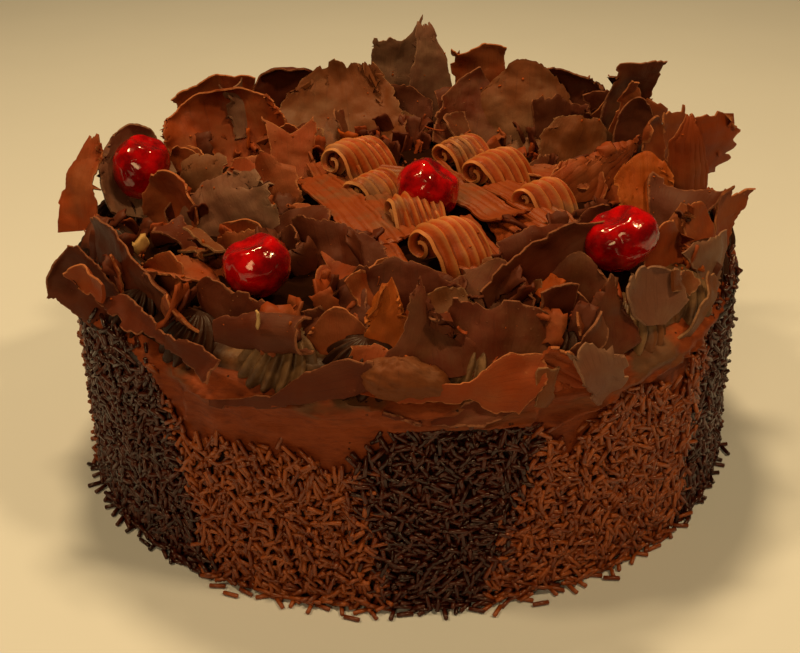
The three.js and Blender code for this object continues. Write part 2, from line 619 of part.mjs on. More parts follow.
const ground = [cake, border(GAP), bed(supports, GAP)];
const taken = [];
let seed = 0;
for (const [name, spec] of Object.entries(CHERRIES)) {
  seed += 1;
  addPiece(name, largest(cutBy(cherry(spec, seed), ground)), CHERRY);
  taken.push(cherry(spec, seed, GAP));
}
for (const [name, spec] of Object.entries(CURLS)) {
  addPiece(name, largest(cutBy(curl(spec), [...ground, ...taken])), MILK_CHOCOLATE);
  taken.push(curlRoom(spec, GAP));
}
for (const [name, spec] of Object.entries(SHARDS)) {
  seed += 1;
  const piece = cutBy(shaving(spec, seed, facets(spec)), [...ground, ...taken]);
  addPiece(name, largest(piece), CHOCOLATE);
  taken.push(shaving(spec, seed, facets(spec), GAP));
}

/** A piece with small shavings fused to it, clear of everything else. */
function withChips(core, chips, others) {
  const pieces = chips.map((spec, i) => cutBy(shaving(spec, i, [2, 2]), others));
  return largest(wasm.Manifold.union([core, ...pieces]));
}
const [, borderSpace, bedSpace] = ground;
const borderChips = [...BORDER_CHIPS, ...backChips()];
addPiece('cream_border', withChips(border(), borderChips, [cake, bedSpace, ...taken]), CREAM);
const bareBed = cutBy(bed(supports), [borderSpace]);
addPiece('shaving_bed', withChips(bareBed, BED_CHIPS, [cake, borderSpace, ...taken]), CHOCOLATE);

export default group;
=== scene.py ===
"""Black forest cake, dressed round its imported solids: a frosted side with a coat of sprinkles, a piped
cream border, combed curls, glazed cherries and a crown of big chocolate shavings.

Sizes are in millimetres. The origin is the centre of the flat base, +Z is up, azimuth 0 is the front
(-Y) and azimuths grow towards +X. A place is written (azimuth in degrees, radius, height).
"""
import math
import random

import bmesh
import bpy
import numpy as np
from mathutils import Matrix, Vector, noise
from mathutils.bvhtree import BVHTree


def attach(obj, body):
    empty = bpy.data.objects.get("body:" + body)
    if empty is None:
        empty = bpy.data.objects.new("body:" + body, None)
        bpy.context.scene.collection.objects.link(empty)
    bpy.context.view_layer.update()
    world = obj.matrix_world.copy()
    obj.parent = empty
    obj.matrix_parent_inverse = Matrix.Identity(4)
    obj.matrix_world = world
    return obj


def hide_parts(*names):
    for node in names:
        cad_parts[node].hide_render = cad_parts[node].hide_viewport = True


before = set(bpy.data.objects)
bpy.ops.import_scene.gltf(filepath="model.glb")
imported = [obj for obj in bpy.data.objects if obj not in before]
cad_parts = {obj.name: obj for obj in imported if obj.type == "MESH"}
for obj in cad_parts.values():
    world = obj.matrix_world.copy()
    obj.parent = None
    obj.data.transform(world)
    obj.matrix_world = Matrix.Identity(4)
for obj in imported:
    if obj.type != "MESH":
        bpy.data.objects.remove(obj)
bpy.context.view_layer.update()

MM = 0.001
UP = "up"

# ---- Cake, coat and border ----
CAKE_RADIUS = 113.8
CAKE_HEIGHT = 78
LIP = 1.2
SHOULDER = 0.92  # the share of the height where the side turns in under the piped border
BASE_RADIUS = CAKE_RADIUS - 1.2  # the drum's foot is a little smaller
BORDER = {"radius": 103.5, "half_length": 13.2, "half_width": 12.2, "height": 16, "foot": 71.5,
          "mounds": 24, "flutes": 16, "turned": -6}
MOUND = {"valley": 0.74, "crest": 1.08, "foot": 0.8, "levels": 9, "sweep": 86, "swirl": 5}
RING = {"radius": 7.6, "flatness": 0.72, "sunk": 2}  # the plain ring of cream under the mounds
LIT_GAPS = (-21, 9, 39, 54)  # azimuths in front where the cream shows in light between the shavings, free of painted shade
LIT_GAP_HALF_WIDTH = 7.5
SHADED_FRONT = 112  # how far round from the front the other cream gets painted shade, lying in the shadow of the shavings
LUMP = {"at": (-1.6, 115.4, 81.2), "size": (9.8, 5.2, 6.4), "turned": 4, "tail": 5, "dip": 1}
BED = {"radius": 92, "middle": 80.5, "thickness": 6.5}
SPRINKLE = {"length": 5.5, "radius": 0.72, "count": 17500, "loose": 170}
VALLEY = 46  # height of the coat where two patches meet
COAT_LIMIT = 75
SLANT_HEIGHT = 60  # the height at which a divide has its second azimuth

# Patches of the coat, alternately dark and milk: (centre, half width, peak height).
PATCHES = [
    (-56, 20, 86), (-23, 14, 53.5), (7, 17, 67), (36, 12, 63.5), (67, 19, 84), (98, 13, 57),
    (128, 17, 72), (158, 13, 58), (188, 17, 75), (219, 14, 55), (249, 16, 73), (276, 12, 56),
]
# Divides between the patches: (azimuth at the base, azimuth at SLANT_HEIGHT).
DIVIDES = [
    (-33, -39), (-3.5, -9), (10, 20), (50, 54.5), (84, 81), (110, 116),
    (146, 140), (170, 175), (206, 202), (230, 235), (267, 262), (286, 291),
]

HEAP = {"count": 46, "reach": 103, "off_cherries": 16, "off_curls": 19, "pitch": 1.4}

# Steps, as shares of a range, that spread any number of things evenly over it.
EVEN_STEPS = (0.6180339887, 0.7548776662)
GOLDEN_ANGLE = 137.508

# ---- Cherries and curls ----
CHERRY_RADIUS = 11.2
CHERRIES = {
    "cherry_left": {"at": (-98, 95, 98), "tilt": 20, "size": (0.92, 0.95, 1.08)},
    "cherry_front": {"at": (-31, 86, 97.5), "tilt": -15, "size": (0.95, 0.95, 0.84)},
    "cherry_middle": {"at": (27, 18, 98.5), "tilt": 35, "size": (0.95, 0.95, 0.92)},
    "cherry_right": {"at": (47, 90, 98.5), "tilt": -20, "size": (1.08, 0.95, 0.86)},
}
CURL = {"radius": 7.2, "core": 2.0, "wall": 1.15, "turns": 1.5, "tail": 8, "swell": 1.2}
CURLS = {
    "curl_back_left": {"at": (-126, 33, 95), "axis": 130, "swing": 30, "length": 20, "scale": 1.0},
    "curl_middle_left": {"at": (-76, 19, 93), "axis": 128, "swing": 30, "length": 15, "scale": 0.85},
    "curl_middle": {"at": (-11, 27, 93.5), "axis": 112, "swing": 0, "length": 17, "scale": 1.02},
    "curl_front": {"at": (4, 55, 93.5), "axis": 112, "swing": 30, "length": 17, "scale": 1.1},
    "curl_back": {"at": (154, 32, 94), "axis": 122, "swing": 30, "length": 15, "scale": 0.95},
    "curl_right": {"at": (110, 26, 94), "axis": 122, "swing": 30, "length": 17, "scale": 1.0},
    "curl_far_right": {"at": (72, 42, 92), "axis": 112, "swing": 30, "length": 15, "scale": 0.85},
}
CURL_ROWS = 64
RIDGE_COLUMNS = 8  # columns of vertices across one combed ridge
FIRST_RIDGES = (3.8, 3.5, 2.9)  # widths of the ridges at a curl's open end
FIRST_INSETS = (0.24, 0.12, 0.04)  # how far those rings draw in, as shares of the radius

# ---- Big shavings ----
# name: (root, tip, width, face, bow, cup, outline, finish, extras). The sheet runs from root to tip
# and looks towards the azimuth `face`. `bow` bends it along its length and `cup` across its width, in
# degrees, and a positive angle makes the looking side hollow. Of the extras, `left` and `right` give the
# half widths from root to tip, `top` how far the end reaches from left to right, `slant` its slope, `lean`
# and `twist` degrees, `roll` where the end begins to roll and by how many degrees, `fray` how torn the edge
# is, `wave` how uneven and `ribs` how ridged the face is.
COMBED_FACE = {"ribs": 0.3, "wave": 1, "fray": 0.3}
SHAVINGS = {
    "sash_left": ((-28.9, 117.5, 68.4), (-3.9, 117, 79.7), 18, -16, -24, -10, "boat", "dark", {
        "left": (0.05, 0.05, 0.05, 0.08, 0.5, 0.88, 0.95, 1.15, 0.9),
        "right": (0.1, 0.25, 0.33, 0.33, 0.3, 0.28, 0.2, 0.12, 0.05),
        "lean": 8, "twist": 20, "fray": 0.5, "roll": (0.85, 15), "wave": 5}),
    "sash_right": ((-5, 117.5, 79), (18, 117.5, 80), 15, 8, -24, -14, "boat", "warm", {
        "left": (0.3, 0.9, 0.7, 0.15, 0.12, 0.6, 1.0, 0.8),
        "right": (0.15, 0.55, 0.8, 0.75, 0.7, 1.3, 1.5, 0.5),
        "lean": 6, "twist": -40, "fray": 0.6, "roll": (0.86, 35), "wave": 6}),
    "front_left_peak": ((-5, 112, 77), (-2.5, 101, 105), 17, -26, 8, -24, "petal", "lit", {
        "left": (1.0, 1.05, 0.95, 0.7, 0.35), "right": (0.8, 0.85, 0.9, 0.75, 0.4),
        "top": (0.75, 0.95, 1.03, 0.95, 0.85), "roll": (0.8, 8)}),
    "front_right_peak": ((3.5, 114, 80), (2.5, 105, 106), 25, 14, -10, -36, "spike", "grey", {
        "left": (1.2, 1.1, 0.8, 0.45, 0.14), "right": (1.3, 1.2, 0.95, 0.5, 0.1),
        "top": (0.96, 1.06, 0.92, 0.85, 0.75), "fray": 0.9, "roll": (0.8, -10)}),
    "front_wide": ((14, 112, 78), (15, 103, 98), 34, 12, -10, -46, "shield", "grey", {
        "right": (0.35, 0.75, 1.1, 1.2, 1.12), "top": (0.98, 1.02, 0.92, 0.99, 0.93, 0.88, 0.72),
        "fray": 0.9, "roll": (0.8, 20)}),
    "front_long": ((-2, 86, 81), (-2, 77, 103), 46, -2, -14, -46, "peak", "dark", {}),
    "front_scroll": ((-29, 112, 88), (-15.5, 115, 89.5), 25, -18, 6, -215, "plank", "dark", {
        "left": (0.2, 0.45, 0.7, 0.9, 1.0), "right": (0.15, 0.4, 0.65, 0.9, 1.0), "roll": (0.8, 6)}),
    "dark_long": ((16, 84, 87), (45, 84, 101), 20, 26, -10, 30, "boat", "dark", {}),
    "under_cherry": ((-26, 101, 84), (-25, 98, 94), 44, -24, -10, -40, "shield", "dark", {
        "top": (0.95, 1.0, 0.98, 0.85, 0.9, 1.1)}),
    "petal_right": ((30.5, 114, 77), (32.5, 108, 100), 21, 22, 20, -46, "petal", "grey", {
        "left": (0.3, 1.0, 0.85, 0.6, 0.2), "right": (0.5, 1.2, 1.0, 0.75, 0.45), "fray": 0.9,
        "roll": (0.8, 15)}),
    "pale_hanging": ((27, 120.5, 67), (25.5, 118.5, 88), 17, 24, -30, 30, "petal", "bloomed", {
        "left": (0.15, 0.5, 0.85, 1.0, 1.05), "right": (0.3, 0.75, 0.95, 0.9, 0.85),
        "top": (1.06, 0.92, 1.0, 0.86, 0.84, 0.78), "fray": 0.9, "roll": (0.8, 20)}),
    "ribbed_scoop": ((18, 117, 84), (25, 120, 74), 14, 22, 40, 60, "disc", "warm", {"ribs": 0.3, "wave": 3}),
    "dish": ((39, 114, 82), (41.5, 109, 100), 28, 34, 44, 60, "disc", "bloomed", {
        "left": (0.35, 0.85, 1.05, 1.1, 0.95), "right": (0.3, 0.75, 1.0, 1.1, 1.0),
        "fray": 1.0, "top": (0.95, 0.8, 1.02, 0.9, 1.08, 1.04, 1.0, 0.85), "roll": (0.82, 50)}),
    "by_cherry": ((55, 101, 80), (54.3, 100, 103), 22, 36, -10, -40, "petal", "warm", {}),
    "grey_corner": ((60, 113, 80), (59.7, 112, 97), 24, 36, 14, -40, "fan", "bloomed", {"fray": 0.9}),
    "cracked_corner": ((45.5, 117, 72.5), (54.5, 115, 88), 9, 44, -20, 20, "plank", "pale", {
        "left": (0.5, 0.5, 0.7, 1.2), "right": (0.9, 0.4, 0.6, 1.3), "fray": 0.8}),
    "twin_prong": ((77, 109, 78), (79, 115, 102), 15, 40, 20, 40, "prongs", "warm", {}),
    "serrated": ((96.5, 108, 90), (96, 112, 114), 18, 22, -20, -40, "fan", "warm", {
        "left": (0.9, 0.9, 1.0, 1.0), "right": (1.2, 1.0, 1.7, 1.3, 2.0, 1.5, 2.0, 1.2),
        "top": (0.95, 1.02, 1.0, 0.95, 0.85), "fray": 0.8, "roll": (0.8, 15)}),
    "ribbed_spike": ((92.7, 104, 79), (92.8, 101.5, 117), 17, 20, -12, -36, "spike", "warm", {
        "left": (1.0, 1.1, 1.2, 1.2, 0.2), "right": (1.0, 0.8, 0.6, 0.4, 0.1), "ribs": 0.15, "wave": 5}),
    "lit_ribbed": ((78, 86, 81), (88, 84, 106), 15, 5, 10, -30, "petal", "lit", {
        "left": (1.0, 1.3, 1.5, 1.4), "right": (1.0, 1.3, 1.5, 1.6), "ribs": 0.25, "wave": 5, "fray": 0.9}),
    "hook": ((122, 103, 86), (121, 110, 122), 20, 5, 30, 30, "plank", "grey", {
        "left": (1.1, 1.3, 1.25, 1.2, 1.2), "right": (1.0, 0.85, 0.65, 0.6, 0.8),
        "top": (0.92, 1.0, 1.08, 1.13), "roll": (0.85, 25)}),
    "ledge": ((111, 103, 77), (109, 108, 109), 12, 40, -10, 50, "plank", "warm", {"fray": 0.9}),
    "streaked_right": ((80, 56, 80), (106, 92, 101), 28, 15, 30, -60, "petal", "warm", {
        "left": (1.2, 1.15, 0.95, 0.6, 0.15), "right": (0.9, 1.0, 0.9, 0.6, 0.3),
        "ribs": 0.06, "roll": (0.8, 12)}),
    "broad_right": ((116, 75, 81), (122, 87, 102), 38, 10, 14, -24, "shield", "pale", {}),
    "jagged_back": ((135, 86, 80), (136, 92, 105), 26, 10, -10, 30, "fan", "dark", {"fray": 0.9}),
    "dark_roll": ((38, 67, 82), (40, 64, 98), 28, 20, -60, -20, "plank", "dark", {"slant": 0.2}),
    "back_hill": ((142, 102, 79), (141, 110, 113), 42, 0, 14, 24, "petal", "dark", {"fray": 0.9}),
    "fold_right": ((144, 84, 80), (149, 101, 113), 44, -5, -26, -50, "petal", "pale", {"roll": (0.7, 30)}),
    "fold_left": ((157, 70, 82), (160, 95, 111), 36, 8, 14, 60, "peak", "grey", {}),
    "back_plate": ((162, 105, 79), (162, 112, 116), 24, 0, 20, 14, "plank", "warm", {"fray": 0.9}),
    "grey_side": ((172, 96, 80), (173, 101, 126), 28, 15, 14, 30, "spike", "bloomed", {}),
    "grey_spire": ((-177, 104, 78), (-180, 110, 127), 24, -5, 20, 44, "horn", "bloomed", {}),
    "disc": ((-160, 70, 82), (-164, 96, 113), 52, 0, 26, 20, "shield", "pale", {
        "left": (0.75, 0.95, 1.0, 0.9, 0.65), "right": (1.1, 1.12, 0.95, 0.85, 0.6),
        "top": (0.85, 0.98, 1.02, 1.0, 0.95), "fray": 1.0, "roll": (0.8, 12)}),
    "back_scroll": ((-153, 101, 79), (-152, 104, 119), 38, 15, 44, 100, "petal", "dark", {
        "roll": (0.65, 70)}),
    "left_back": ((-138, 106, 79), (-136, 112, 112), 36, 0, 20, 30, "fan", "warm", {"roll": (0.7, 40)}),
    "left_shell": ((-128, 84, 80), (-133, 102, 113), 54, 8, 40, 100, "petal", "warm", {
        "left": (0.6, 0.85, 1.0, 1.05, 0.85), "roll": (0.68, 60)}),
    "cherry_cup": ((-93, 98, 80), (-104.8, 98, 114), 34, 22, 60, 120, "disc", "bloomed", {
        "lean": 10, "roll": (0.75, 30)}),
    "left_sail": ((-85, 110, 83), (-95, 109, 111), 27, -20, -16, -20, "spike", "warm", {
        "left": (1.0, 0.95, 0.7, 0.25), "right": (0.35, 0.35, 0.25, 0.15), "roll": (0.8, 8)}),
    "far_left": ((-53, 112, 75), (-66, 124, 91), 20, -20, 24, 20, "fan", "dark", {
        "left": (0.7, 0.85, 1.0, 1.1), "right": (0.8, 0.95, 1.1, 1.2), "roll": (0.72, 80)}),
    "long_left": ((-56, 107, 80), (-58, 105, 101), 38, -48, -14, -30, "shield", "dark", {
        "top": (1.2, 1.15, 0.95, 0.8, 0.6), "roll": (0.75, 35)}),
    "rim_ribbon": ((-57, 115, 84), (-27, 117, 78.5), 9, -42, -30, 20, "plank", "dark", {
        "left": (0.4, 0.8, 0.9, 0.8, 0.8, 1.1), "right": (0.3, 0.6, 0.8, 0.6, 0.6, 1.0), "lean": 35,
        "twist": 20, "fray": 0.7, "roll": (0.85, 30)}),
    "near_left": ((-80, 78, 81), (-86, 83, 105), 31, -40, 20, 50, "petal", "warm", {"roll": (0.7, 40)}),
    "smooth_left": ((-64, 61, 82), (-80, 70, 104), 40, -5, -20, -24, "shield", "bloomed", {
        "fray": 0.9, "top": (0.8, 0.95, 1.05, 0.95, 0.9, 0.7)}),
    "two_point": ((-118, 45, 83), (-135, 60, 107), 21, 8, 14, -20, "prongs", "warm", {}),
    "inner_front": ((-17, 63, 82), (-27, 49, 98), 34, -14, -16, -30, "shield", "dark", {"slant": -0.4}),
    "plank_left": ((-107, 34, 93), (-10, 46, 90), 16, UP, -14, 14, "plank", "combed", {
        **COMBED_FACE, "roll": (0.8, 4)}),
}

# Smaller shavings that lie on the bed and on the border, written as the big ones are.
BED_CHIPS = [
    ((-53, 85.5, 100), (-39, 88, 97), 5, UP, -20, 60, "plank", "pale", {}),
    ((-31, 80, 101), (-26, 81, 98), 4, UP, 0, 60, "plank", "pale", {}),
    ((85, 18, 93), (50, 48, 89), 15, UP, -14, 0, "plank", "combed", COMBED_FACE),
    ((40, 32, 91), (27, 74, 87), 5, UP, -6, 60, "plank", "combed", COMBED_FACE),
    ((29, 34, 90), (24, 72, 87), 4.5, UP, -6, 60, "plank", "lit", COMBED_FACE),
    ((12, 42, 90), (24, 72, 86), 12, UP, -16, 0, "plank", "combed", COMBED_FACE),
    ((100, 34, 91), (62, 62, 88), 14, UP, -10, 10, "plank", "combed", COMBED_FACE),
    ((-150, 20, 92), (150, 14, 92), 16, UP, 10, 10, "plank", "combed", COMBED_FACE),
    ((-138, 44, 91), (-70, 18, 89), 15, UP, 10, 10, "plank", "combed", COMBED_FACE),
    ((-60, 12, 92), (0, 40, 89), 12, UP, -14, 10, "plank", "combed", COMBED_FACE),
    ((160, 26, 92), (100, 20, 90), 15, UP, 10, 10, "plank", "combed", COMBED_FACE),
    ((130, 44, 92), (88, 40, 89), 15, UP, 10, 10, "plank", "combed", COMBED_FACE),
    ((-20, 36, 90), (-2, 64, 87), 13, UP, -14, 10, "plank", "combed", COMBED_FACE),
    ((58, 40, 90), (46, 70, 88), 12, UP, -14, 10, "plank", "combed", COMBED_FACE),
    ((118, 50, 90), (92, 66, 92), 16, UP, -10, 20, "petal", "warm", {"ribs": 0.4, "wave": 4}),
    ((-40, 30, 89), (-20, 62, 89), 16, UP, -10, 20, "petal", "warm", {"wave": 5}),
    ((-104, 83, 83), (-109, 86, 101), 17, -10, 0, 30, "petal", "warm", {}),
    ((-84, 42, 84), (-98, 50, 104), 18, -2, -20, -40, "petal", "warm", {"fray": 0.8}),
    ((-88, 68, 84), (-97, 72, 105), 17, -8, -10, -30, "fan", "pale", {"fray": 1.2}),
    ((-38, 61, 84), (-40, 58, 97), 16, -25, 30, 130, "disc", "dark", {}),
    ((70, 34, 89), (40, 60, 87), 14, UP, -14, 10, "plank", "combed", COMBED_FACE),
    ((165, 80, 82), (165, 88, 105), 16, 0, 0, 20, "fan", "dark", {}),
    ((-178, 82, 82), (178, 88, 104), 26, 0, 0, 30, "shield", "dark", {}),
    ((-66, 80, 85), (-47, 78, 92), 5, UP, 0, 0, "plank", "pale", {}),
    ((92, 60, 82), (100, 66, 97), 22, 5, 0, 20, "shield", "warm", {"ribs": 0.2, "wave": 4}),
    ((62, 70, 82), (66, 72, 98), 18, 20, 0, -30, "petal", "dark", {}),
    ((-45, 74, 82), (-50, 70, 97), 24, -30, 0, -30, "shield", "warm", {}),
    ((-135, 64, 82), (-140, 70, 99), 20, 0, 0, 20, "petal", "warm", {}),
]
BORDER_CHIPS = [
    ((-52, 99, 91), (-38, 92, 92), 15, UP, -20, 40, "petal", "warm", {"wave": 5}),
    ((-28, 114.5, 70), (-14, 114.5, 76), 8, -20, 0, 60, "boat", "dark", {"lean": 40}),
    ((127, 103, 80), (126, 106, 108), 26, 0, 0, 20, "fan", "dark", {"fray": 0.9}),
    ((-134, 87, 92), (-136, 95, 112), 10, 10, 10, -60, "plank", "bloomed", {"fray": 1.2}),
    ((17.4, 119, 71.5), (18.8, 118.5, 83), 6, 30, -10, -30, "plank", "pale", {"fray": 0.8}),
    ((3, 116.5, 68), (15, 117.5, 70), 9, 9, -16, 70, "boat", "grey", {"lean": 35, "roll": (0.8, 10)}),
    ((-3.5, 116.5, 72), (2, 117, 68), 4.5, 0, -6, 200, "plank", "grey", {"roll": (0.8, 10)}),
    ((43, 112.5, 92), (51, 111.5, 88), 7, 30, -10, 30, "plank", "pale", {"lean": 20, "fray": 0.8}),
    ((24, 112, 78), (29, 113, 93), 6, 20, -60, 40, "plank", "grey", {"twist": 120, "fray": 1.2}),
    ((30, 114, 76), (26, 112, 90), 5, 20, 90, 40, "plank", "warm", {"twist": 90, "fray": 1.2}),
    ((-52, 118, 88), (-60, 121, 92), 8, -30, 30, 60, "petal", "warm", {"roll": (0.6, 60)}),
    ((128, 97, 97), (124.5, 106, 113), 5, 10, -10, 30, "plank", "warm", {}),
    ((120.5, 99, 111), (115.5, 116, 98), 8, 10, -10, -30, "plank", "warm", {"fray": 0.8}),
    ((-11, 104, 82), (-12, 101, 95), 18, -10, -20, -40, "petal", "warm", {"wave": 4}),
    ((-6.5, 116, 77), (-5, 111, 91), 15, -16, 0, -30, "shield", "warm", {}),
    ((116, 98, 84), (117, 102, 111), 17, 10, 0, 20, "petal", "dark", {}),
    ((-46, 104, 82), (-42, 107, 96), 20, -44, 0, -40, "petal", "dark", {"roll": (0.7, 40)}),
    ((-40, 107, 82), (-35, 110, 91), 18, -30, 10, -30, "shield", "warm", {"roll": (0.7, 50)}),
    ((-66, 103, 82), (-70, 106, 95), 16, -60, 0, 50, "petal", "warm", {"roll": (0.7, 30)}),
    ((-55, 109, 83), (-55, 109, 97), 5, -55, 0, 0, "plank", "warm", {}),
    ((-47, 101, 84), (-52, 98, 96), 26, -40, 0, -20, "shield", "warm", {}),
    ((106, 97, 84), (104, 95, 109), 13, 30, 0, 50, "petal", "warm", {}),
    ((120, 94, 84), (121, 101, 118), 5, 20, 0, 0, "plank", "warm", {}),
    ((25, 103, 84), (25, 100, 98), 16, 30, 0, 20, "fan", "dark", {}),
    ((70, 104, 84), (72, 103, 100), 16, 40, 0, -30, "petal", "warm", {}),
]

# Small torn sheets, each copied many times: (width, length, cup, bow, thickness).
FLAKES = [(11, 12, 50, 20, 0.9), (8, 14, -40, 50, 0.9), (14, 10, 80, -20, 0.9), (9, 13, 120, 15, 0.9),
          (12, 15, -70, -30, 0.9), (6, 9, 60, 40, 0.8)]
QUILLS = [(7, 9, 330, 0, 0.7), (9, 12, 400, 20, 0.7), (6, 6, 280, 0, 0.7)]
SPLINTERS = [(1.4, 9, 30, 50, 0.7), (1.1, 12, 20, -30, 0.7), (2.0, 7, 60, 90, 0.7)]
ALMONDS = [(5, 6, 80, 60, 1.6), (1.3, 7, 20, 30, 0.6)]
ALMOND_PLACES = [(-54, 100, 98), (-21, 114, 96)]
CRUMBS = 1100
SWEPT = [(30, 45, 90), (55, 30, 90), (80, 50, 90), (-50, 36, 90)]  # places between the curls, free of litter
SWEPT_REACH = 15

# ---- Studio ----
FLOOR_METRES = 6
CAMERA = {"at": (-2.06, -408.1, 249.3), "down": 27.41, "roll": -1.16, "lens": 55.4, "sensor": 36}
ROOM_LIGHT = {"colour": (1.0, 0.72, 0.40, 1), "strength": 0.03}
LAMP_COLOUR = (1.0, 0.67, 0.30)
# Lamps: (azimuth, radius, height, size, watts).
LAMPS = [(190, 330, 1100, 200, 8.5), (-75, 550, 1000, 130, 3.9), (60, 600, 950, 130, 4.7),
         (-15, 1000, 550, 400, 2.6)]
LAMPS_AIM = (0, 0, 80)

# Half width along a sheet (0 root, 1 tip), and how far its end reaches across it (u from -1 to 1).
OUTLINES = {
    "plank": (lambda v: 1, lambda u: 1),
    "petal": (lambda v: 0.62 + 0.38 * math.sin(math.pi * (0.12 + 0.7 * v)), lambda u: 1 - 0.3 * u * u),
    "disc": (lambda v: 0.55 + 0.45 * math.sin(math.pi * (0.08 + 0.8 * v)), lambda u: 1 - 0.42 * u * u),
    "shield": (lambda v: 0.84 + 0.16 * math.sin(math.pi * v), lambda u: 1 - 0.14 * u * u),
    "peak": (lambda v: 1 - 0.12 * v, lambda u: 1 - 0.42 * abs(u)),
    "fan": (lambda v: 0.5 + 0.5 * v, lambda u: 1 - 0.1 * u * u),
    "spike": (lambda v: 1 - 0.8 * v ** 1.3, lambda u: 1),
    "horn": (lambda v: 1 - 0.15 * v, lambda u: 0.8 + 0.22 * max(0, u) ** 2),
    "boat": (lambda v: 0.3 + 0.7 * math.sin(math.pi * (0.08 + 0.84 * v)), lambda u: 1),
    "prongs": (lambda v: 0.7 + 0.3 * v, lambda u: 0.78 + 0.22 * abs(u)),
}


# ---- Places ----
def heading(azimuth):
    """Direction of an azimuth in the ground plane."""
    return Vector((math.sin(math.radians(azimuth)), -math.cos(math.radians(azimuth)), 0))


def place(azimuth, radius, height):
    return (heading(azimuth) * radius + Vector((0, 0, height))) * MM


def rotation(degrees, axis):
    return Matrix.Rotation(math.radians(degrees), 4, axis)


# ---- Modelling by operators ----
def rest():
    """Leaves edit mode with nothing selected."""
    if bpy.context.object and bpy.context.object.mode != "OBJECT":
        bpy.ops.object.mode_set(mode="OBJECT")
    bpy.ops.object.select_all(action="DESELECT")


def take(*objects):
    """Selects objects and makes the first one active."""
    rest()
    for obj in objects:
        obj.select_set(True)
    bpy.context.view_layer.objects.active = objects[0]


def named(name):
    """Names the object that was just added."""
    obj = bpy.context.object
    obj.name = obj.data.name = name
    return obj


def settle(obj, pose=None, size=None):
    """Gives the object a pose or a size, and puts its place, turn and size into its mesh."""
    if pose is not None:
        obj.matrix_world = pose
    if size is not None:
        obj.scale = size
    take(obj)
    bpy.ops.object.transform_apply(location=True, rotation=True, scale=True)


def modify(obj, kind, **settings):
    """Adds a modifier and applies it."""
    take(obj)
    modifier = obj.modifiers.new(kind, kind)
    for key, value in settings.items():
        setattr(modifier, key, value)
    bpy.ops.object.modifier_apply(modifier=modifier.name)


def join(name, objects):
    """Joins objects into one piece."""
    take(*objects)
    bpy.ops.object.join()
    return named(name)


def roughen(obj, *layers, within=""):
    """Pushes the surface in and out, in a vertex group only if `within` names one. A layer is (size of its
    features, depth in all), in millimetres."""
    for scale, depth in layers:
        texture = bpy.data.textures.new("unevenness", "CLOUDS")
        texture.noise_scale = scale * MM
        modify(obj, "DISPLACE", texture=texture, strength=depth * MM, mid_level=0.5, vertex_group=within)


def mark(mesh, name, values):
    """Gives every vertex a number, which a finish reads as an attribute."""
    mesh.attributes.new(name, "FLOAT", "POINT").data.foreach_set("value", values)


def surfaced(obj, material, crease=None):
    """Shades the piece smooth, except over edges sharper than `crease` degrees, and gives it its finish."""
    take(obj)
    if crease:
        bpy.ops.object.shade_smooth_by_angle(angle=math.radians(crease))
    else:
        bpy.ops.object.shade_smooth()
    obj.data.materials.append(material)
    return obj


class Edit:
    """Edit mode on one object, with vertices picked in code."""

    def __init__(self, obj):
        self.obj = obj

    def __enter__(self):
        take(self.obj)
        bpy.ops.object.mode_set(mode="EDIT")
        bpy.context.tool_settings.mesh_select_mode = (True, False, False)
        self.refresh()
        return self

    def __exit__(self, *_):
        bpy.ops.object.mode_set(mode="OBJECT")

    def refresh(self):
        self.mesh = bmesh.from_edit_mesh(self.obj.data)
        self.mesh.verts.ensure_lookup_table()

    def pick(self, vertices):
        bpy.ops.mesh.select_all(action="DESELECT")
        for vertex in vertices:
            vertex.select = True
        self.mesh.select_flush(True)
        bmesh.update_edit_mesh(self.obj.data, loop_triangles=False, destructive=False)

    def pick_where(self, test):
        self.refresh()
        self.pick([vertex for vertex in self.mesh.verts if test(vertex.co)])

    def pick_nearest(self, spot):
        self.refresh()
        self.pick([min(self.mesh.verts, key=lambda v: (v.co - spot).length_squared)])

    @staticmethod
    def pick_all():
        bpy.ops.mesh.select_all(action="SELECT")

    @staticmethod
    def move(x=0, y=0, z=0, **options):
        bpy.ops.transform.translate(value=(x * MM, y * MM, z * MM), **options)

    def drag(self, x=0, y=0, z=0, reach=0, falloff="SMOOTH"):
        """Moves what is picked, and what lies within `reach` millimetres of it by less and less."""
        self.move(x, y, z, use_proportional_edit=True, proportional_size=reach * MM,
                  proportional_edit_falloff=falloff)

    @staticmethod
    def extrude(rise):
        bpy.ops.mesh.extrude_region_move(TRANSFORM_OT_translate={"value": (0, 0, rise * MM)})

    @staticmethod
    def scramble(offset, seed):
        """Moves every vertex at random by up to `offset` millimetres."""
        bpy.ops.transform.vertex_random(offset=offset * MM, seed=seed)

    @staticmethod
    def resize(x=1, y=1, z=1, about=(0, 0, 0)):
        bpy.ops.transform.resize(value=(x, y, z), center_override=about)

    @staticmethod
    def turn(degrees, axis, about):
        """Turns by the right-hand rule. Without a window the operator itself turns the other way."""
        bpy.ops.transform.rotate(value=-math.radians(degrees), orient_axis=axis, center_override=about)


# ---- Sheets of chocolate ----
SHEET_PITCH = 0.85  # millimetres between a big shaving's vertices
SHEET_THICKNESS = 1.1
SHEET_CREASE = 50
RIM_WIDTH = 0.8  # how far the torn rim's finish reaches into the sheet
RIM_THINNESS = 0.55
NARROWEST = 0.04  # the least share of its width that a sheet keeps anywhere


def tear(seed, along):
    """How far a torn edge stands out at a distance along it, in millimetres: it wanders, steps where the
    sheet snapped, and has fine teeth in places."""
    wander = 2.0 * noise.noise((along / 9, seed * 3.71, 0.5))
    snap = 1.4 * (noise.cell((along / 5, seed * 2.3, 0.5)) - 0.5)
    patch = max(0, noise.noise((along / 7, seed * 1.37, 9.5)) + 0.1)
    return wander + snap + 3.2 * patch * noise.noise((along / 1.5, seed * 5.13, 3.5))


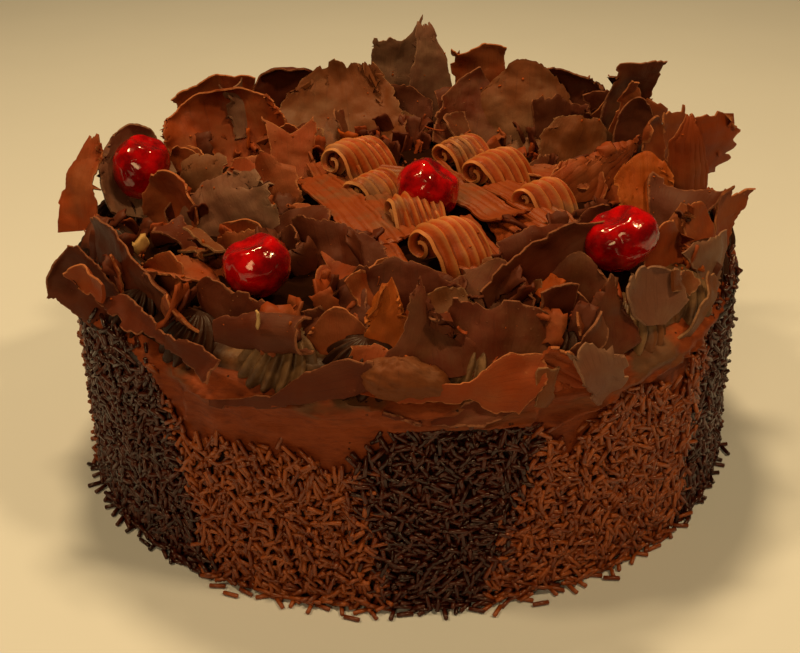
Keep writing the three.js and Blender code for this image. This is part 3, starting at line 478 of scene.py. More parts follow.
def between(values, share):
    """The value at a share from 0 to 1 of a list of evenly spaced ones."""
    at = share * (len(values) - 1)
    i = min(int(at), len(values) - 2)
    return values[i] + (values[i + 1] - values[i]) * (at - i)


def roll_end(sheet, start, degrees):
    """Bends only the part of a standing sheet above the height `start`, in metres."""
    heights = [v.co.z for v in sheet.data.vertices]
    with Edit(sheet) as edit:
        edit.pick_all()
        edit.move(z=-start / MM)
    modify(sheet, "SIMPLE_DEFORM", deform_method="BEND", deform_axis="X", angle=math.radians(degrees),
           limits=((start - min(heights)) / (max(heights) - min(heights)), 1))
    with Edit(sheet) as edit:
        edit.pick_all()
        edit.move(z=start / MM)


def shaving(name, spec, seed, pitch=SHEET_PITCH):
    """A torn sheet from its root to its tip."""
    root, tip, width, face, bow, cup, outline, finish, extras = spec
    start = place(*root)
    chord = place(*tip) - start
    along = chord.normalized()
    facing = Vector((0, 0, 1)) if face == UP else heading(face)
    facing = facing + Vector((0, 0, math.tan(math.radians(extras.get("lean", 0)))))
    look = (facing - along * facing.dot(along)).normalized()
    bend = math.radians(bow) or 0.001
    length = chord.length * bend / 2 / math.sin(bend / 2) / MM
    columns, rows = max(5, round(width / pitch)), max(6, round(length / pitch))
    if "ribs" in extras:
        columns *= 2
    half, reach = OUTLINES[outline]
    fray = extras.get("fray", 0.55)
    rng = random.Random(seed)

    rest()
    bpy.ops.mesh.primitive_grid_add(
        x_subdivisions=columns, y_subdivisions=rows, size=1, rotation=(math.pi / 2, 0, 0))
    sheet = named(name)
    settle(sheet, size=(width * MM, length * MM, 1))
    foot = (0, 0, -length * MM / 2)
    with Edit(sheet) as edit:
        verts = list(edit.mesh.verts)
        for i in range(rows + 1):
            row = verts[i * (columns + 1):(i + 1) * (columns + 1)]
            rise = i / rows
            for hand, side in ((-1, "right"), (1, "left")):
                edit.pick([v for v in row if v.co.x * hand > 0])
                wide = between(extras[side], rise) if side in extras else half(rise)
                wide += 2 * fray * tear(seed + hand * 0.3, rise * length) / width
                edit.resize(x=max(NARROWEST, wide))
        for j in range(columns + 1):
            u = 1 - 2 * j / columns
            edit.pick(verts[j::columns + 1])
            end = between(extras["top"], (u + 1) / 2) if "top" in extras else reach(u)
            end += extras.get("slant", 0) * u + fray * tear(seed, u * width / 2) / length
            edit.resize(z=end, about=foot)
            if "ribs" in extras:
                ridge = abs(math.sin(u * width * 0.48 + 0.4 * math.sin(u * 9)))
                edit.move(y=extras["ribs"] * (2 * ridge - 1))

    finer = columns * pitch / width
    inward = [min(j / finer, (columns - j) / finer, rows - i)
              for i in range(rows + 1) for j in range(columns + 1)]
    mark(sheet.data, "rim", [max(0, 1 - n * pitch / RIM_WIDTH) for n in inward])
    body = sheet.vertex_groups.new(name="body")
    body.add([i for i, n in enumerate(inward) if n > 0], 1, "REPLACE")
    body.add([i for i, n in enumerate(inward) if n == 0], RIM_THINNESS, "REPLACE")

    spread = max(v.co.x for v in sheet.data.vertices) - min(v.co.x for v in sheet.data.vertices)
    height = max(v.co.z for v in sheet.data.vertices) - min(v.co.z for v in sheet.data.vertices)
    bends = [("BEND", "Z", cup * spread / MM / width), ("TWIST", "Z", extras.get("twist", 0)),
             ("BEND", "X", bow * height / MM / length)]
    for method, axis, degrees in bends:
        if degrees:
            modify(sheet, "SIMPLE_DEFORM", deform_method=method, deform_axis=axis,
                   angle=math.radians(degrees))
    share, degrees = extras.get("roll", (rng.uniform(0.6, 0.8), rng.choice((-1, 1)) * rng.uniform(12, 50)))
    roll_end(sheet, (share - 0.5) * length * MM, degrees)
    middle = start + chord / 2 - look * (1 - math.cos(bend / 2)) * length * MM / bend
    turn = Matrix((look.cross(along), look, along)).transposed().to_4x4()
    settle(sheet, pose=Matrix.Translation(middle) @ turn)
    wave = extras.get("wave", 9)
    roughen(sheet, (24, wave), (8, 0.18 * wave))
    modify(sheet, "SOLIDIFY", thickness=SHEET_THICKNESS * MM, offset=0, vertex_group="body",
           thickness_vertex_group=0.0)
    return surfaced(sheet, CHOCOLATES[finish], SHEET_CREASE)


# ---- Shaders ----
def ink(code):
    """A linear colour from its sRGB code."""
    parts = [int(code[i:i + 2], 16) / 255 for i in (0, 2, 4)]
    return [c / 12.92 if c < 0.04045 else ((c + 0.055) / 1.055) ** 2.4 for c in parts] + [1]


class Value:
    """A number that changes over a surface. Operators on it add Math nodes."""

    def __init__(self, shader, socket):
        self.shader, self.socket = shader, socket

    def math(self, operation, *values):
        made = self.shader.node("Math", {"operation": operation}, dict(enumerate(values)))
        return Value(self.shader, made.outputs[0])

    def __add__(self, other):
        return self.math("ADD", self, other)

    def __sub__(self, other):
        return self.math("SUBTRACT", self, other)

    def __rsub__(self, other):
        return self.math("SUBTRACT", other, self)

    def __mul__(self, other):
        return self.math("MULTIPLY", self, other)

    __radd__, __rmul__ = __add__, __mul__

    def ramp(self, low, high):
        """0 below low, 1 above high, smooth between them."""
        made = self.shader.node("MapRange", {"interpolation_type": "SMOOTHSTEP"},
                                {"Value": self, "From Min": low, "From Max": high})
        return Value(self.shader, made.outputs[0])


class Shader:
    """A material on the Principled shader, with its all-over constants set on the shader's sockets."""

    def __init__(self, name, **constants):
        self.material = bpy.data.materials.new(name)
        self.material.use_nodes = True
        self.tree = self.material.node_tree
        self.surface = self.tree.nodes["Principled BSDF"]
        for key, value in constants.items():
            self.surface.inputs[key.replace("_", " ").title().replace("Ior", "IOR")].default_value = value
        self.object_space = self.node("TexCoord").outputs["Object"]
        self.sheet_space = self.node("TexCoord").outputs["UV"]

    def node(self, kind, settings=None, sockets=None):
        made = self.tree.nodes.new("ShaderNode" + kind)
        for key, value in (settings or {}).items():
            setattr(made, key, value)
        for key, value in (sockets or {}).items():
            self.plug(made.inputs[key], value)
        return made

    def plug(self, socket, value):
        if isinstance(value, Value):
            value = value.socket
        if isinstance(value, bpy.types.NodeSocket):
            self.tree.links.new(value, socket)
        else:
            socket.default_value = value

    def noise(self, size, space=None, detail=3, roughness=0.55, distortion=0):
        """Noise with features of about `size` millimetres, or of 1/size of a stretched space."""
        scale = 1 / (size * MM) if space is None else size
        made = self.node("TexNoise", {}, {
            "Vector": space or self.object_space, "Scale": scale, "Detail": detail,
            "Roughness": roughness, "Distortion": distortion})
        return Value(self, made.outputs[0])

    def streaks(self, space, x, y, z, **settings):
        """Noise drawn out into streaks. A larger number packs more of them along that axis."""
        stretched = self.node("Mapping", {}, {"Vector": space, "Scale": (x, y, z)}).outputs[0]
        return self.noise(1, space=stretched, **settings)

    def spots(self, size):
        """Distance from scattered points about `size` millimetres apart, 0 at a point."""
        made = self.node("TexVoronoi", {}, {"Vector": self.object_space, "Scale": 1 / (size * MM)})
        return Value(self, made.outputs["Distance"])

    def attribute(self, name):
        return Value(self, self.node("Attribute", {"attribute_name": name}).outputs["Fac"])

    def layered(self, base, *layers):
        """Colours laid over a base colour. A layer is (how much of it shows, colour code)."""
        colour = ink(base)
        for share, code in layers:
            made = self.node("Mix", {"data_type": "RGBA"}, {0: share, 6: colour, 7: ink(code)})
            colour = made.outputs[2]
        return colour

    def bump(self, height, distance, strength=1.0, over=None):
        sockets = {"Height": height, "Distance": distance * MM, "Strength": strength}
        if over:
            sockets["Normal"] = over
        return self.node("Bump", {}, sockets).outputs[0]

    def finish(self, colour, roughness, normal):
        self.plug(self.surface.inputs["Base Color"], colour)
        self.plug(self.surface.inputs["Roughness"], roughness)
        self.plug(self.surface.inputs["Normal"], normal)
        return self.material


def chocolate(name, body, bloom, rim, bloomed, gloss, sheen=0.14, shade="260d04"):
    """Shaved chocolate: a waxy face with a grey bloom in patches, fine knife streaks with painted shade in
    their troughs, and a painted highlight on the torn rim.
    """
    s = Shader(name, ior=1.45, specular_ior_level=sheen)
    patches = s.noise(26, detail=4)
    mottle = s.noise(5, detail=4)
    lines = s.streaks(s.sheet_space, 46, 1.6, 1, detail=4, roughness=0.65)
    edge = (s.attribute("rim") * 0.9 + s.noise(1.7) * 1.6 + s.noise(9) * 1.4 - 1.65).ramp(0.2, 0.85)
    crumbs = (0.14 - s.spots(2.6)).ramp(0, 0.06) * s.noise(14).ramp(0.55, 0.68)
    colour = s.layered(
        body,
        ((patches + mottle * 0.25).ramp(0.52, 0.78) * bloomed, bloom),
        (lines.ramp(0.5, 0.8) * 0.3, bloom),
        # Painted shade in the troughs of the knife streaks.
        ((0.5 - lines).ramp(0, 0.25) * 0.3, shade),
        # Painted highlight: the torn rim is painted paler where it catches the light, and the crumbs take
        # the same paler colour.
        (edge * 0.6, rim),
        (crumbs * 0.5, rim))
    roughness = gloss + lines * 0.16 + edge * 0.25 + mottle * 0.1
    relief = s.bump(lines, 0.25, 0.5)
    relief = s.bump(mottle + crumbs * 1.5 + edge * s.noise(0.8), 0.5, 0.6, relief)
    return s.finish(colour, roughness, relief)


CHOCOLATES = {
    "almond": chocolate("almond", "a88452", "b8976a", "c8ac80", 0.5, 0.5, 0.2, "8a6a3c"),
    # Painted shade: the bed between the sheets is coloured near black, as if deep in shadow.
    "deep": chocolate("chocolate_bed_shade", "1c0a03", "221006", "3a1808", 0.4, 0.7, 0.02),
    # Dark chocolate, given also to sheets in hollows and in shadow as painted shade.
    "dark": chocolate("chocolate_dark_and_shaded", "4d1e0d", "522c1c", "915c40", 0.6, 0.42),
    "warm": chocolate("chocolate_warm", "7b3210", "7c472a", "b1734b", 0.6, 0.43),
    "grey": chocolate("chocolate_grey", "542211", "5d3824", "976448", 0.8, 0.42),
    # Grey bloom. On the sheets to the right, these two finishes also paint the whiter light that falls
    # there.
    "bloomed": chocolate("chocolate_bloomed", "684233", "735442", "8d6852", 0.9, 0.38),
    "pale": chocolate("chocolate_pale", "643418", "67442e", "906a4d", 0.8, 0.4),
    "lit": chocolate("chocolate_lit", "903d09", "8e4e1e", "b26935", 0.5, 0.42),
}


def curl_chocolate():
    """Combed milk chocolate: orange-brown with grey patches, a painted highlight on the sharp crests of its
    ridges, and painted shade in the hollows between them and in the streaks' troughs.
    """
    s = Shader("curl_chocolate", ior=1.45, specular_ior_level=0.25)
    mottle = s.noise(6, detail=5)
    lines = s.streaks(s.sheet_space, 40, 2, 1, detail=4, roughness=0.6)
    crest = s.attribute("crest")
    colour = s.layered(
        "9c4012",
        (mottle.ramp(0.4, 0.75), "ab5120"),
        (s.noise(16).ramp(0.5, 0.66) * 0.75, "806044"),
        # Painted highlight on the crests, and painted shade in the hollows between them and in the streaks'
        # troughs.
        (crest.ramp(0.78, 1) * 0.6, "c4864f"),
        ((0.6 - crest).ramp(0, 0.5) * 0.6, "5a290c"),
        ((0.5 - lines).ramp(0, 0.3) * 0.4, "5c2509"))
    relief = s.bump(lines, 0.3, 0.5)
    relief = s.bump(s.noise(0.9), 0.25, 0.4, relief)
    return s.finish(colour, 0.36 + mottle * 0.16, relief)


def frosting_cream():
    """Smoothed chocolate cream: soft smears round the side, tiny air pits painted dark as shade, and painted
    shade under the coat of sprinkles, which darkens the gaps between the strands.
    """
    s = Shader("frosting_cream", ior=1.45, specular_ior_level=0.22)
    smears = s.streaks(s.object_space, 24, 24, 150, detail=5, distortion=0.6)
    cloudy = s.noise(18)
    grain = s.streaks(s.object_space, 260, 260, 900, detail=4, roughness=0.7)
    crests = s.streaks(s.object_space, 40, 40, 90)
    pits = (0.15 - s.spots(3.4)).ramp(0, 0.07) * s.noise(9).ramp(0.5, 0.6)
    colour = s.layered(
        "6c2b07",
        (cloudy.ramp(0.35, 0.7), "7a330b"),
        (smears.ramp(0.5, 0.75) * 0.35, "501f06"),
        (grain.ramp(0.45, 0.75) * 0.4, "8a4520"),
        ((0.5 - grain).ramp(0, 0.2) * 0.45, "461a06"),
        (s.attribute("upper") * crests.ramp(0.48, 0.62) * 0.7, "523f2b"),
        # Painted shade in the air pits.
        (pits, "2a0e03"),
        # Painted shade under the coat of sprinkles, darkening the gaps between the strands.
        (s.attribute("coat").ramp(0.2, 0.9), "1c0802"))
    relief = s.bump(smears + cloudy * 0.8, 1.4, 0.6)
    relief = s.bump(grain - pits * 2, 0.35, 0.8, relief)
    return s.finish(colour, 0.55 + cloudy * 0.15, relief)


def piped_cream():
    """Piped mocha cream, greyish and satin, painted near black as shade where it lies in the shadow of the
    shavings.
    """
    s = Shader("piped_cream", ior=1.45, specular_ior_level=0.18)
    cloudy = s.noise(7, detail=4)
    colour = s.layered(
        "4a3221",
        (cloudy.ramp(0.35, 0.7), "7a5a3d"),
        (s.noise(16).ramp(0.5, 0.65) * 0.6, "744022"),
        # Painted shade where the cream lies in the shadow of the shavings.
        (s.attribute("shaded_under_shavings"), "2e160a"))
    relief = s.bump(cloudy + s.noise(1.4) * 0.3, 0.6, 0.6)
    return s.finish(colour, 0.36 + cloudy * 0.12, relief)


def sprinkle_sugar(name, low, high, glint):
    """Sprinkles: a satin shell, each strand a little lighter or darker than the next."""
    s = Shader(name, ior=1.5, specular_ior_level=0.4)
    tone = s.attribute("tone")
    return s.finish(s.layered(low, (tone, high)), glint + tone * 0.12, s.bump(s.noise(0.7), 0.1, 0.4))


def cherry_glaze():
    """A candied cherry: deep red flesh under a wet syrup coat."""
    s = Shader("cherry_glaze", ior=1.45, specular_ior_level=0.3, subsurface_weight=0.5,
               subsurface_scale=0.006, coat_weight=1.0, coat_roughness=0.03, coat_ior=1.45)
    s.surface.inputs["Subsurface Radius"].default_value = (1.0, 0.08, 0.04)
    depth = s.noise(7)
    colour = s.layered("6e0002", (depth.ramp(0.35, 0.7), "b80205"))
    wrinkles = s.noise(4.2, detail=2, roughness=0.4, distortion=1.2)
    relief = s.bump(wrinkles, 1.0, 0.35)
    return s.finish(colour, 0.12 + depth * 0.06, relief)


FROSTING = frosting_cream()
CREAM = piped_cream()
CHOCOLATES["combed"] = curl_chocolate()
CHERRY = cherry_glaze()
SPRINKLE_DARK = sprinkle_sugar("sprinkle_dark", "260802", "471806", 0.26)
SPRINKLE_MILK = sprinkle_sugar("sprinkle_milk", "63290f", "8c4518", 0.3)


# ---- Many small things as one mesh ----
def scatter(name, templates, placings, material, seed):
    """One mesh of many small shapes. A placing is (template number, 4x4 matrix)."""
    rng = random.Random(seed)
    vertices, corners, starts, tones = [], [], [], []
    shapes = []
    for obj in templates:
        points = np.array([v.co[:] for v in obj.data.vertices])
        loops = np.array([i for p in obj.data.polygons for i in p.vertices])
        sizes = np.array([len(p.vertices) for p in obj.data.polygons])
        shapes.append((points, loops, sizes))
    count = 0
    for kind, matrix in placings:
        points, loops, sizes = shapes[kind]
        m = np.array(matrix)
        vertices.append(points @ m[:3, :3].T + m[:3, 3])
        corners.append(loops + count)
        starts.append(sizes)
        tones.append(np.full(len(points), rng.random()))
        count += len(points)
    sizes = np.concatenate(starts)
    loops = np.concatenate(corners)
    mesh = bpy.data.meshes.new(name)
    mesh.vertices.add(count)
    mesh.vertices.foreach_set("co", np.concatenate(vertices).ravel())
    mesh.loops.add(len(loops))
    mesh.loops.foreach_set("vertex_index", loops)
    mesh.polygons.add(len(sizes))
    mesh.polygons.foreach_set("loop_start", np.concatenate([[0], np.cumsum(sizes)[:-1]]))
    mark(mesh, "tone", np.concatenate(tones))
    mesh.update(calc_edges=True)
    mesh.validate()
    mesh.shade_smooth()
    mesh.materials.append(material)
    piece = bpy.data.objects.new(name, mesh)
    bpy.context.scene.collection.objects.link(piece)
    return piece


def discard(objects):
    for obj in objects:
        bpy.data.objects.remove(obj)


# ---- Frosted side ----
def coat_top(azimuth):
    """Height of the coat's top outline."""
    top = VALLEY
    for centre, half, peak in PATCHES:
        away = abs((azimuth - centre + 540) % 360 - 180) / half
        if away < 1:
            top = max(top, VALLEY + (peak - VALLEY) * math.cos(away * math.pi / 2) ** 0.6)
    return min(top, COAT_LIMIT)


def is_dark(azimuth, height):
    """Whether the coat is dark chocolate there. The divides between patches lean."""
    share = height / SLANT_HEIGHT
    passed = 0
    for low, high in DIVIDES:
        divide = low + (high - low) * share
        passed += (azimuth - DIVIDES[0][0] + 20) % 360 > (divide - DIVIDES[0][0] + 20) % 360
    return passed % 2 == 0


def azimuth_of(point):
    return math.degrees(math.atan2(point.x, -point.y))


# Smears in the frosting: (azimuth, height, push outwards, reach).
SMEARS = [(-31, 66, 2.2, 12), (-29, 58, 1.6, 9), (-46, 72, 1.8, 10), (-12, 71, 1.5, 8), (2, 72, 1.7, 8),
          (24, 70, 1.2, 9), (34, 73, 1.8, 9), (44, 72, 1.6, 10), (60, 74, 1.4, 8), (90, 73, 1.6, 12),
          (130, 71, 1.5, 11), (170, 73, 1.8, 10), (205, 70, 1.5, 12), (240, 73, 1.6, 9), (280, 72, 1.7, 10)]


# Folds that the knife left in the frosting: (azimuth, height) at both ends, push outwards, reach.
FOLDS = [
    ((-36, 73), (-24, 66), 2.9, 5), ((-33, 70), (-35, 57), 2.2, 4), ((-20, 68), (-6, 71), 2.6, 5),
    ((-14, 65), (-2, 67), 1.6, 4), ((-4, 70), (9, 71), 2.9, 5), ((6, 68), (18, 66), 2.4, 5),
    ((16, 71), (27, 70), 2.4, 5), ((27, 67), (42, 72), 3.8, 6), ((40, 70), (58, 73), 2.9, 6),
    ((62, 72), (86, 71), 2.6, 6), ((95, 70), (118, 73), 2.9, 6), ((130, 72), (150, 69), 2.6, 6),
    ((160, 71), (182, 73), 2.6, 6), ((195, 72), (215, 68), 2.9, 6), ((225, 71), (247, 73), 2.6, 6),
    ((258, 72), (280, 69), 2.9, 6), ((288, 70), (304, 73), 2.6, 6), ((100, 60), (112, 62), 1.6, 5),
    ((218, 60), (232, 58), 1.6, 5), ((21, 61), (33, 67), 3.0, 4), ((33, 67), (50, 69), 3.0, 4),
    ((-8, 74), (4, 68), 2.6, 3), ((-2, 66), (10, 64), 2.0, 3), ((8, 65), (17, 63), 2.4, 3),
    ((-30, 62), (-18, 60), 1.2, 6), ((-26, 68), (-14, 72), 2.2, 3), ((-44, 74), (-38, 62), 2.0, 4),
]


def frosted_side():
    """A disc drawn up ring by ring into the frosted drum, then smeared."""
    rest()
    bpy.ops.mesh.primitive_circle_add(vertices=480, radius=BASE_RADIUS * MM, fill_type="NGON")
    side = named("frosted_side")
    # Rings as shares of the height, closer together above 0.6, where the frosting shows.
    rises = [k / 20 * 0.6 for k in range(1, 20)] + [0.6 + 0.4 * k / 36 for k in range(37)]
    with Edit(side) as edit:
        edit.pick_all()
        radius, reached = BASE_RADIUS, 0
        for rise in rises:
            shoulder = max(0, rise - SHOULDER) / (1 - SHOULDER)
            wider = CAKE_RADIUS + LIP * max(0, (rise - 0.8) / 0.2) - 8 * shoulder ** 2
            edit.extrude(CAKE_HEIGHT * (rise - reached))
            edit.resize(x=wider / radius, y=wider / radius)
            radius, reached = wider, rise
        for inner in (0.9, 0.6, 0.2):
            edit.extrude(0)
            edit.resize(x=inner * CAKE_RADIUS / radius, y=inner * CAKE_RADIUS / radius)
            radius = inner * CAKE_RADIUS
        for azimuth, height, push, reach in SMEARS:
            edit.pick_nearest(place(azimuth, CAKE_RADIUS + 1, height))
            shift = heading(azimuth) * push
            edit.drag(shift.x, shift.y, reach=reach)
        for start, end, push, reach in FOLDS:
            steps = [start[0] + (end[0] - start[0]) * k / 20 for k in range(21)]
            spots = [place(azimuth, CAKE_RADIUS + 1, between((start[1], end[1]), k / 20))
                     for k, azimuth in enumerate(steps)]
            edit.refresh()
            edit.pick([v for v in edit.mesh.verts
                       if min((v.co - spot).length_squared for spot in spots) < (1.3 * MM) ** 2])
            shift = heading(between((start[0], end[0]), 0.5)) * push
            edit.drag(shift.x, shift.y, reach=reach, falloff="SHARP")
    raised = side.vertex_groups.new(name="raised")
    raised.add([v.index for v in side.data.vertices if v.co.z > 0.5 * MM], 1, "REPLACE")
    roughen(side, (30, 1.6), (9, 0.7), (3.5, 0.25), within="raised")
    heights = [v.co.z / MM for v in side.data.vertices]
    # Painted shade: the frosting under the coat is marked, for its finish to colour it near black as the
    # shade between the sprinkles.
    mark(side.data, "coat", [
        float(height < coat_top(azimuth_of(v.co)) - 2) for height, v in zip(heights, side.data.vertices)])
    mark(side.data, "upper", [min(1, max(0, (height - 63) / 8)) for height in heights])
    return surfaced(side, FROSTING, crease=60)


def sprinkle_templates():
    """Strands along X: a straight one and two bent ones, with five sides and pointed ends."""
    made = []
    for bend in (0, 14, -22):
        rest()
        bpy.ops.mesh.primitive_cylinder_add(
            vertices=5, radius=SPRINKLE["radius"] * MM, depth=SPRINKLE["length"] * 0.9 * MM,
            end_fill_type="TRIFAN", rotation=(0, math.pi / 2, 0))
        strand = named("strand")
        settle(strand)
        with Edit(strand) as edit:
            for end in (-1, 1):
                edit.pick_where(lambda co: co.x * end > 0 and math.hypot(co.y, co.z) < 0.1 * MM)
                edit.move(x=end * 0.035 * SPRINKLE["length"])
            if bend:
                edit.pick_where(lambda co: co.x > 0)
                edit.turn(bend, "Z", (0, 0, 0))
        made.append(strand)
    return made


def sprinkle_coat():
    """Strands spread evenly over the coat in three loose layers, dark and milk in their patches."""
    rng = random.Random(5)
    templates = sprinkle_templates()
    around, upward = EVEN_STEPS
    dark, milk = [], []
    for i in range(SPRINKLE["count"]):
        azimuth = (i * around % 1) * 360 - 180
        height = 0.8 + (i * upward % 1) * (COAT_LIMIT + 2)
        over = height - coat_top(azimuth) + rng.gauss(0, 1.4)
        if over > 0 and (over > 3 or rng.random() > 0.1):
            continue
        stray = rng.random() < 0.08
        radius = CAKE_RADIUS + 0.1 + rng.random() * 2.2
        lean = rng.gauss(0, 45 if stray else 15)
        spin = rng.uniform(0, 180)
        if height < 3:
            spin, radius = rng.gauss(0, 14), radius + rng.random() * 1.5
        size = rng.uniform(0.72, 1.28)
        matrix = (Matrix.Translation(place(azimuth, radius, height))
                  @ rotation(azimuth, "Z") @ rotation(spin, "Y") @ rotation(lean, "Z")
                  @ Matrix.Rotation(rng.uniform(0, math.tau), 4, "X")
                  @ Matrix.Diagonal((size, rng.uniform(0.88, 1.1), 1, 1)))
        mixed = rng.gauss(0, 1.3)
        kind = 0 if rng.random() < 0.6 else rng.choice((1, 2))
        if height < 6:
            lowest = min((matrix @ v.co).z for v in templates[kind].data.vertices)
            matrix = Matrix.Translation((0, 0, max(0, 0.05 * MM - lowest))) @ matrix
        (dark if is_dark(azimuth + mixed, height) else milk).append((kind, matrix))
    for i in range(SPRINKLE["loose"]):
        azimuth = (i * around % 1) * 360
        radius = CAKE_RADIUS + 2.5 + abs(rng.gauss(0, 1.8))
        matrix = (Matrix.Translation(place(azimuth, radius, SPRINKLE["radius"] * 1.1))
                  @ Matrix.Rotation(rng.uniform(0, math.tau), 4, "Z"))
        (dark if is_dark(azimuth, 0) else milk).append((0, matrix))
    pieces = [scatter("sprinkles_dark", templates, dark, SPRINKLE_DARK, 1),
              scatter("sprinkles_milk", templates, milk, SPRINKLE_MILK, 2)]
    discard(templates)
    return pieces


# ---- Piped border ----
def piped_mound():
    """One mound from a star nozzle: a fluted ring drawn up, narrowed and twisted to a soft tip."""
    rest()
    points = BORDER["flutes"] * 4
    bpy.ops.mesh.primitive_circle_add(vertices=points, radius=MM, fill_type="NGON")
    mound = named("mound")
    with Edit(mound) as edit:
        verts = sorted(edit.mesh.verts, key=lambda v: math.atan2(v.co.y, v.co.x))
        edit.pick([v for i, v in enumerate(verts) if i % 4 == 0])
        edit.resize(MOUND["valley"], MOUND["valley"])
        edit.pick([v for i, v in enumerate(verts) if i % 4 == 2])
        edit.resize(MOUND["crest"], MOUND["crest"])
        edit.pick_all()
        edit.resize(MOUND["foot"], MOUND["foot"])
        wide, high = MOUND["foot"], 0
        for i in range(1, MOUND["levels"] + 1):
            angle = math.radians(MOUND["sweep"] * i / MOUND["levels"])
            target, rise = math.cos(angle) ** 0.75, math.sin(angle)
            edit.extrude(rise - high)
            edit.resize(target / wide, target / wide)
            edit.turn(MOUND["swirl"], "Z", (0, 0, 0))
            wide, high = target, rise
    modify(mound, "SUBSURF", levels=1, render_levels=1)
    return mound


def piped_border():
    """Mounds side by side on a plain ring of cream, with the shavings stuck in it."""
    rng = random.Random(8)
    mound = piped_mound()
    placings = []
    for i in range(BORDER["mounds"]):
        azimuth = i * 360 / BORDER["mounds"] + BORDER["turned"] + rng.uniform(-1, 1)
        swell = rng.uniform(0.95, 1.06)
        size = [BORDER[side] * swell for side in ("half_length", "half_width", "height")]
        placings.append((0, Matrix.Translation(place(azimuth, BORDER["radius"], BORDER["foot"]))
                         @ rotation(azimuth, "Z") @ Matrix.Diagonal((*size, 1))
                         @ Matrix.Rotation(rng.uniform(0, math.tau), 4, "Z")))
    mounds = scatter("mounds", [mound], placings, CREAM, 3)
    discard([mound])
    rest()
    bpy.ops.mesh.primitive_torus_add(
        major_radius=BORDER["radius"] * MM, minor_radius=RING["radius"] * MM, major_segments=144,
        minor_segments=20, location=(0, 0, (CAKE_HEIGHT - RING["sunk"]) * MM))
    ring = named("ring")
    settle(ring, size=(1, 1, RING["flatness"]))
    ring.data.materials.append(CREAM)
    border = join("piped_border", [mounds, ring])
    roughen(border, (6, 0.9))
    azimuths = [azimuth_of(v.co) for v in border.data.vertices]
    # Painted shade: the cream in front that lies in the shadow of the shavings is marked, all but the lit
    # gaps between them.
    mark(border.data, "shaded_under_shavings", [
        float(abs(azimuth) < SHADED_FRONT and min(abs(azimuth - lit_gap) for lit_gap in LIT_GAPS) > LIT_GAP_HALF_WIDTH)
        for azimuth in azimuths])
    take(border)
    bpy.ops.object.shade_smooth()
    return border


def frosting_lump():
    """A smooth lump of pitted chocolate at the left end of the right-hand sash."""
    rest()
    bpy.ops.mesh.primitive_uv_sphere_add(segments=48, ring_count=32, radius=MM)
    lump = named("lump")
    settle(lump, size=LUMP["size"])
    with Edit(lump) as edit:
        edit.pick_where(lambda co: co.x > (LUMP["size"][0] - 0.4) * MM)
        edit.drag(x=LUMP["tail"], z=-LUMP["dip"], reach=12)
    settle(lump, pose=Matrix.Translation(place(*LUMP["at"])) @ rotation(LUMP["turned"], "Y"))
    roughen(lump, (9, 2.4), (2.4, 1.8), (1.0, 1.3))
    return surfaced(lump, CHOCOLATES["pale"])


# ---- Bed of shavings ----
def shaving_bed():
    """A low uneven dome of broken chocolate, raised under each cherry, coloured near black as painted shade
    for the gaps between the sheets.
    """
    rest()
    bpy.ops.mesh.primitive_uv_sphere_add(
        segments=128, ring_count=96, radius=1, location=(0, 0, BED["middle"] * MM))
    bed = named("broken_chocolate")
    settle(bed, size=(BED["radius"] * MM, BED["radius"] * MM, BED["thickness"] * MM))
    with Edit(bed) as edit:
        for azimuth, radius, _ in [spec["at"] for spec in CHERRIES.values()]:
            edit.pick_nearest(place(azimuth, min(radius, BED["radius"] - 8), 85))
            edit.drag(z=3, reach=16)
    roughen(bed, (11, 6.0), (4, 3.0), (1.8, 1.0))
    return surfaced(bed, CHOCOLATES["deep"])


# ---- Combed curls ----
def curl_path(share, scale):
    """Across and up, in millimetres: from the tail on the bed, up and over, and in to the core."""
    angle = share * CURL["turns"] * math.tau - math.pi / 2
    radius = (CURL["radius"] - (CURL["radius"] - CURL["core"]) * share) * scale
    outward = CURL["tail"] * scale * 1.25 * max(0, 1 - share * 4) ** 2
    return math.cos(angle) * radius + outward, math.sin(angle) * radius


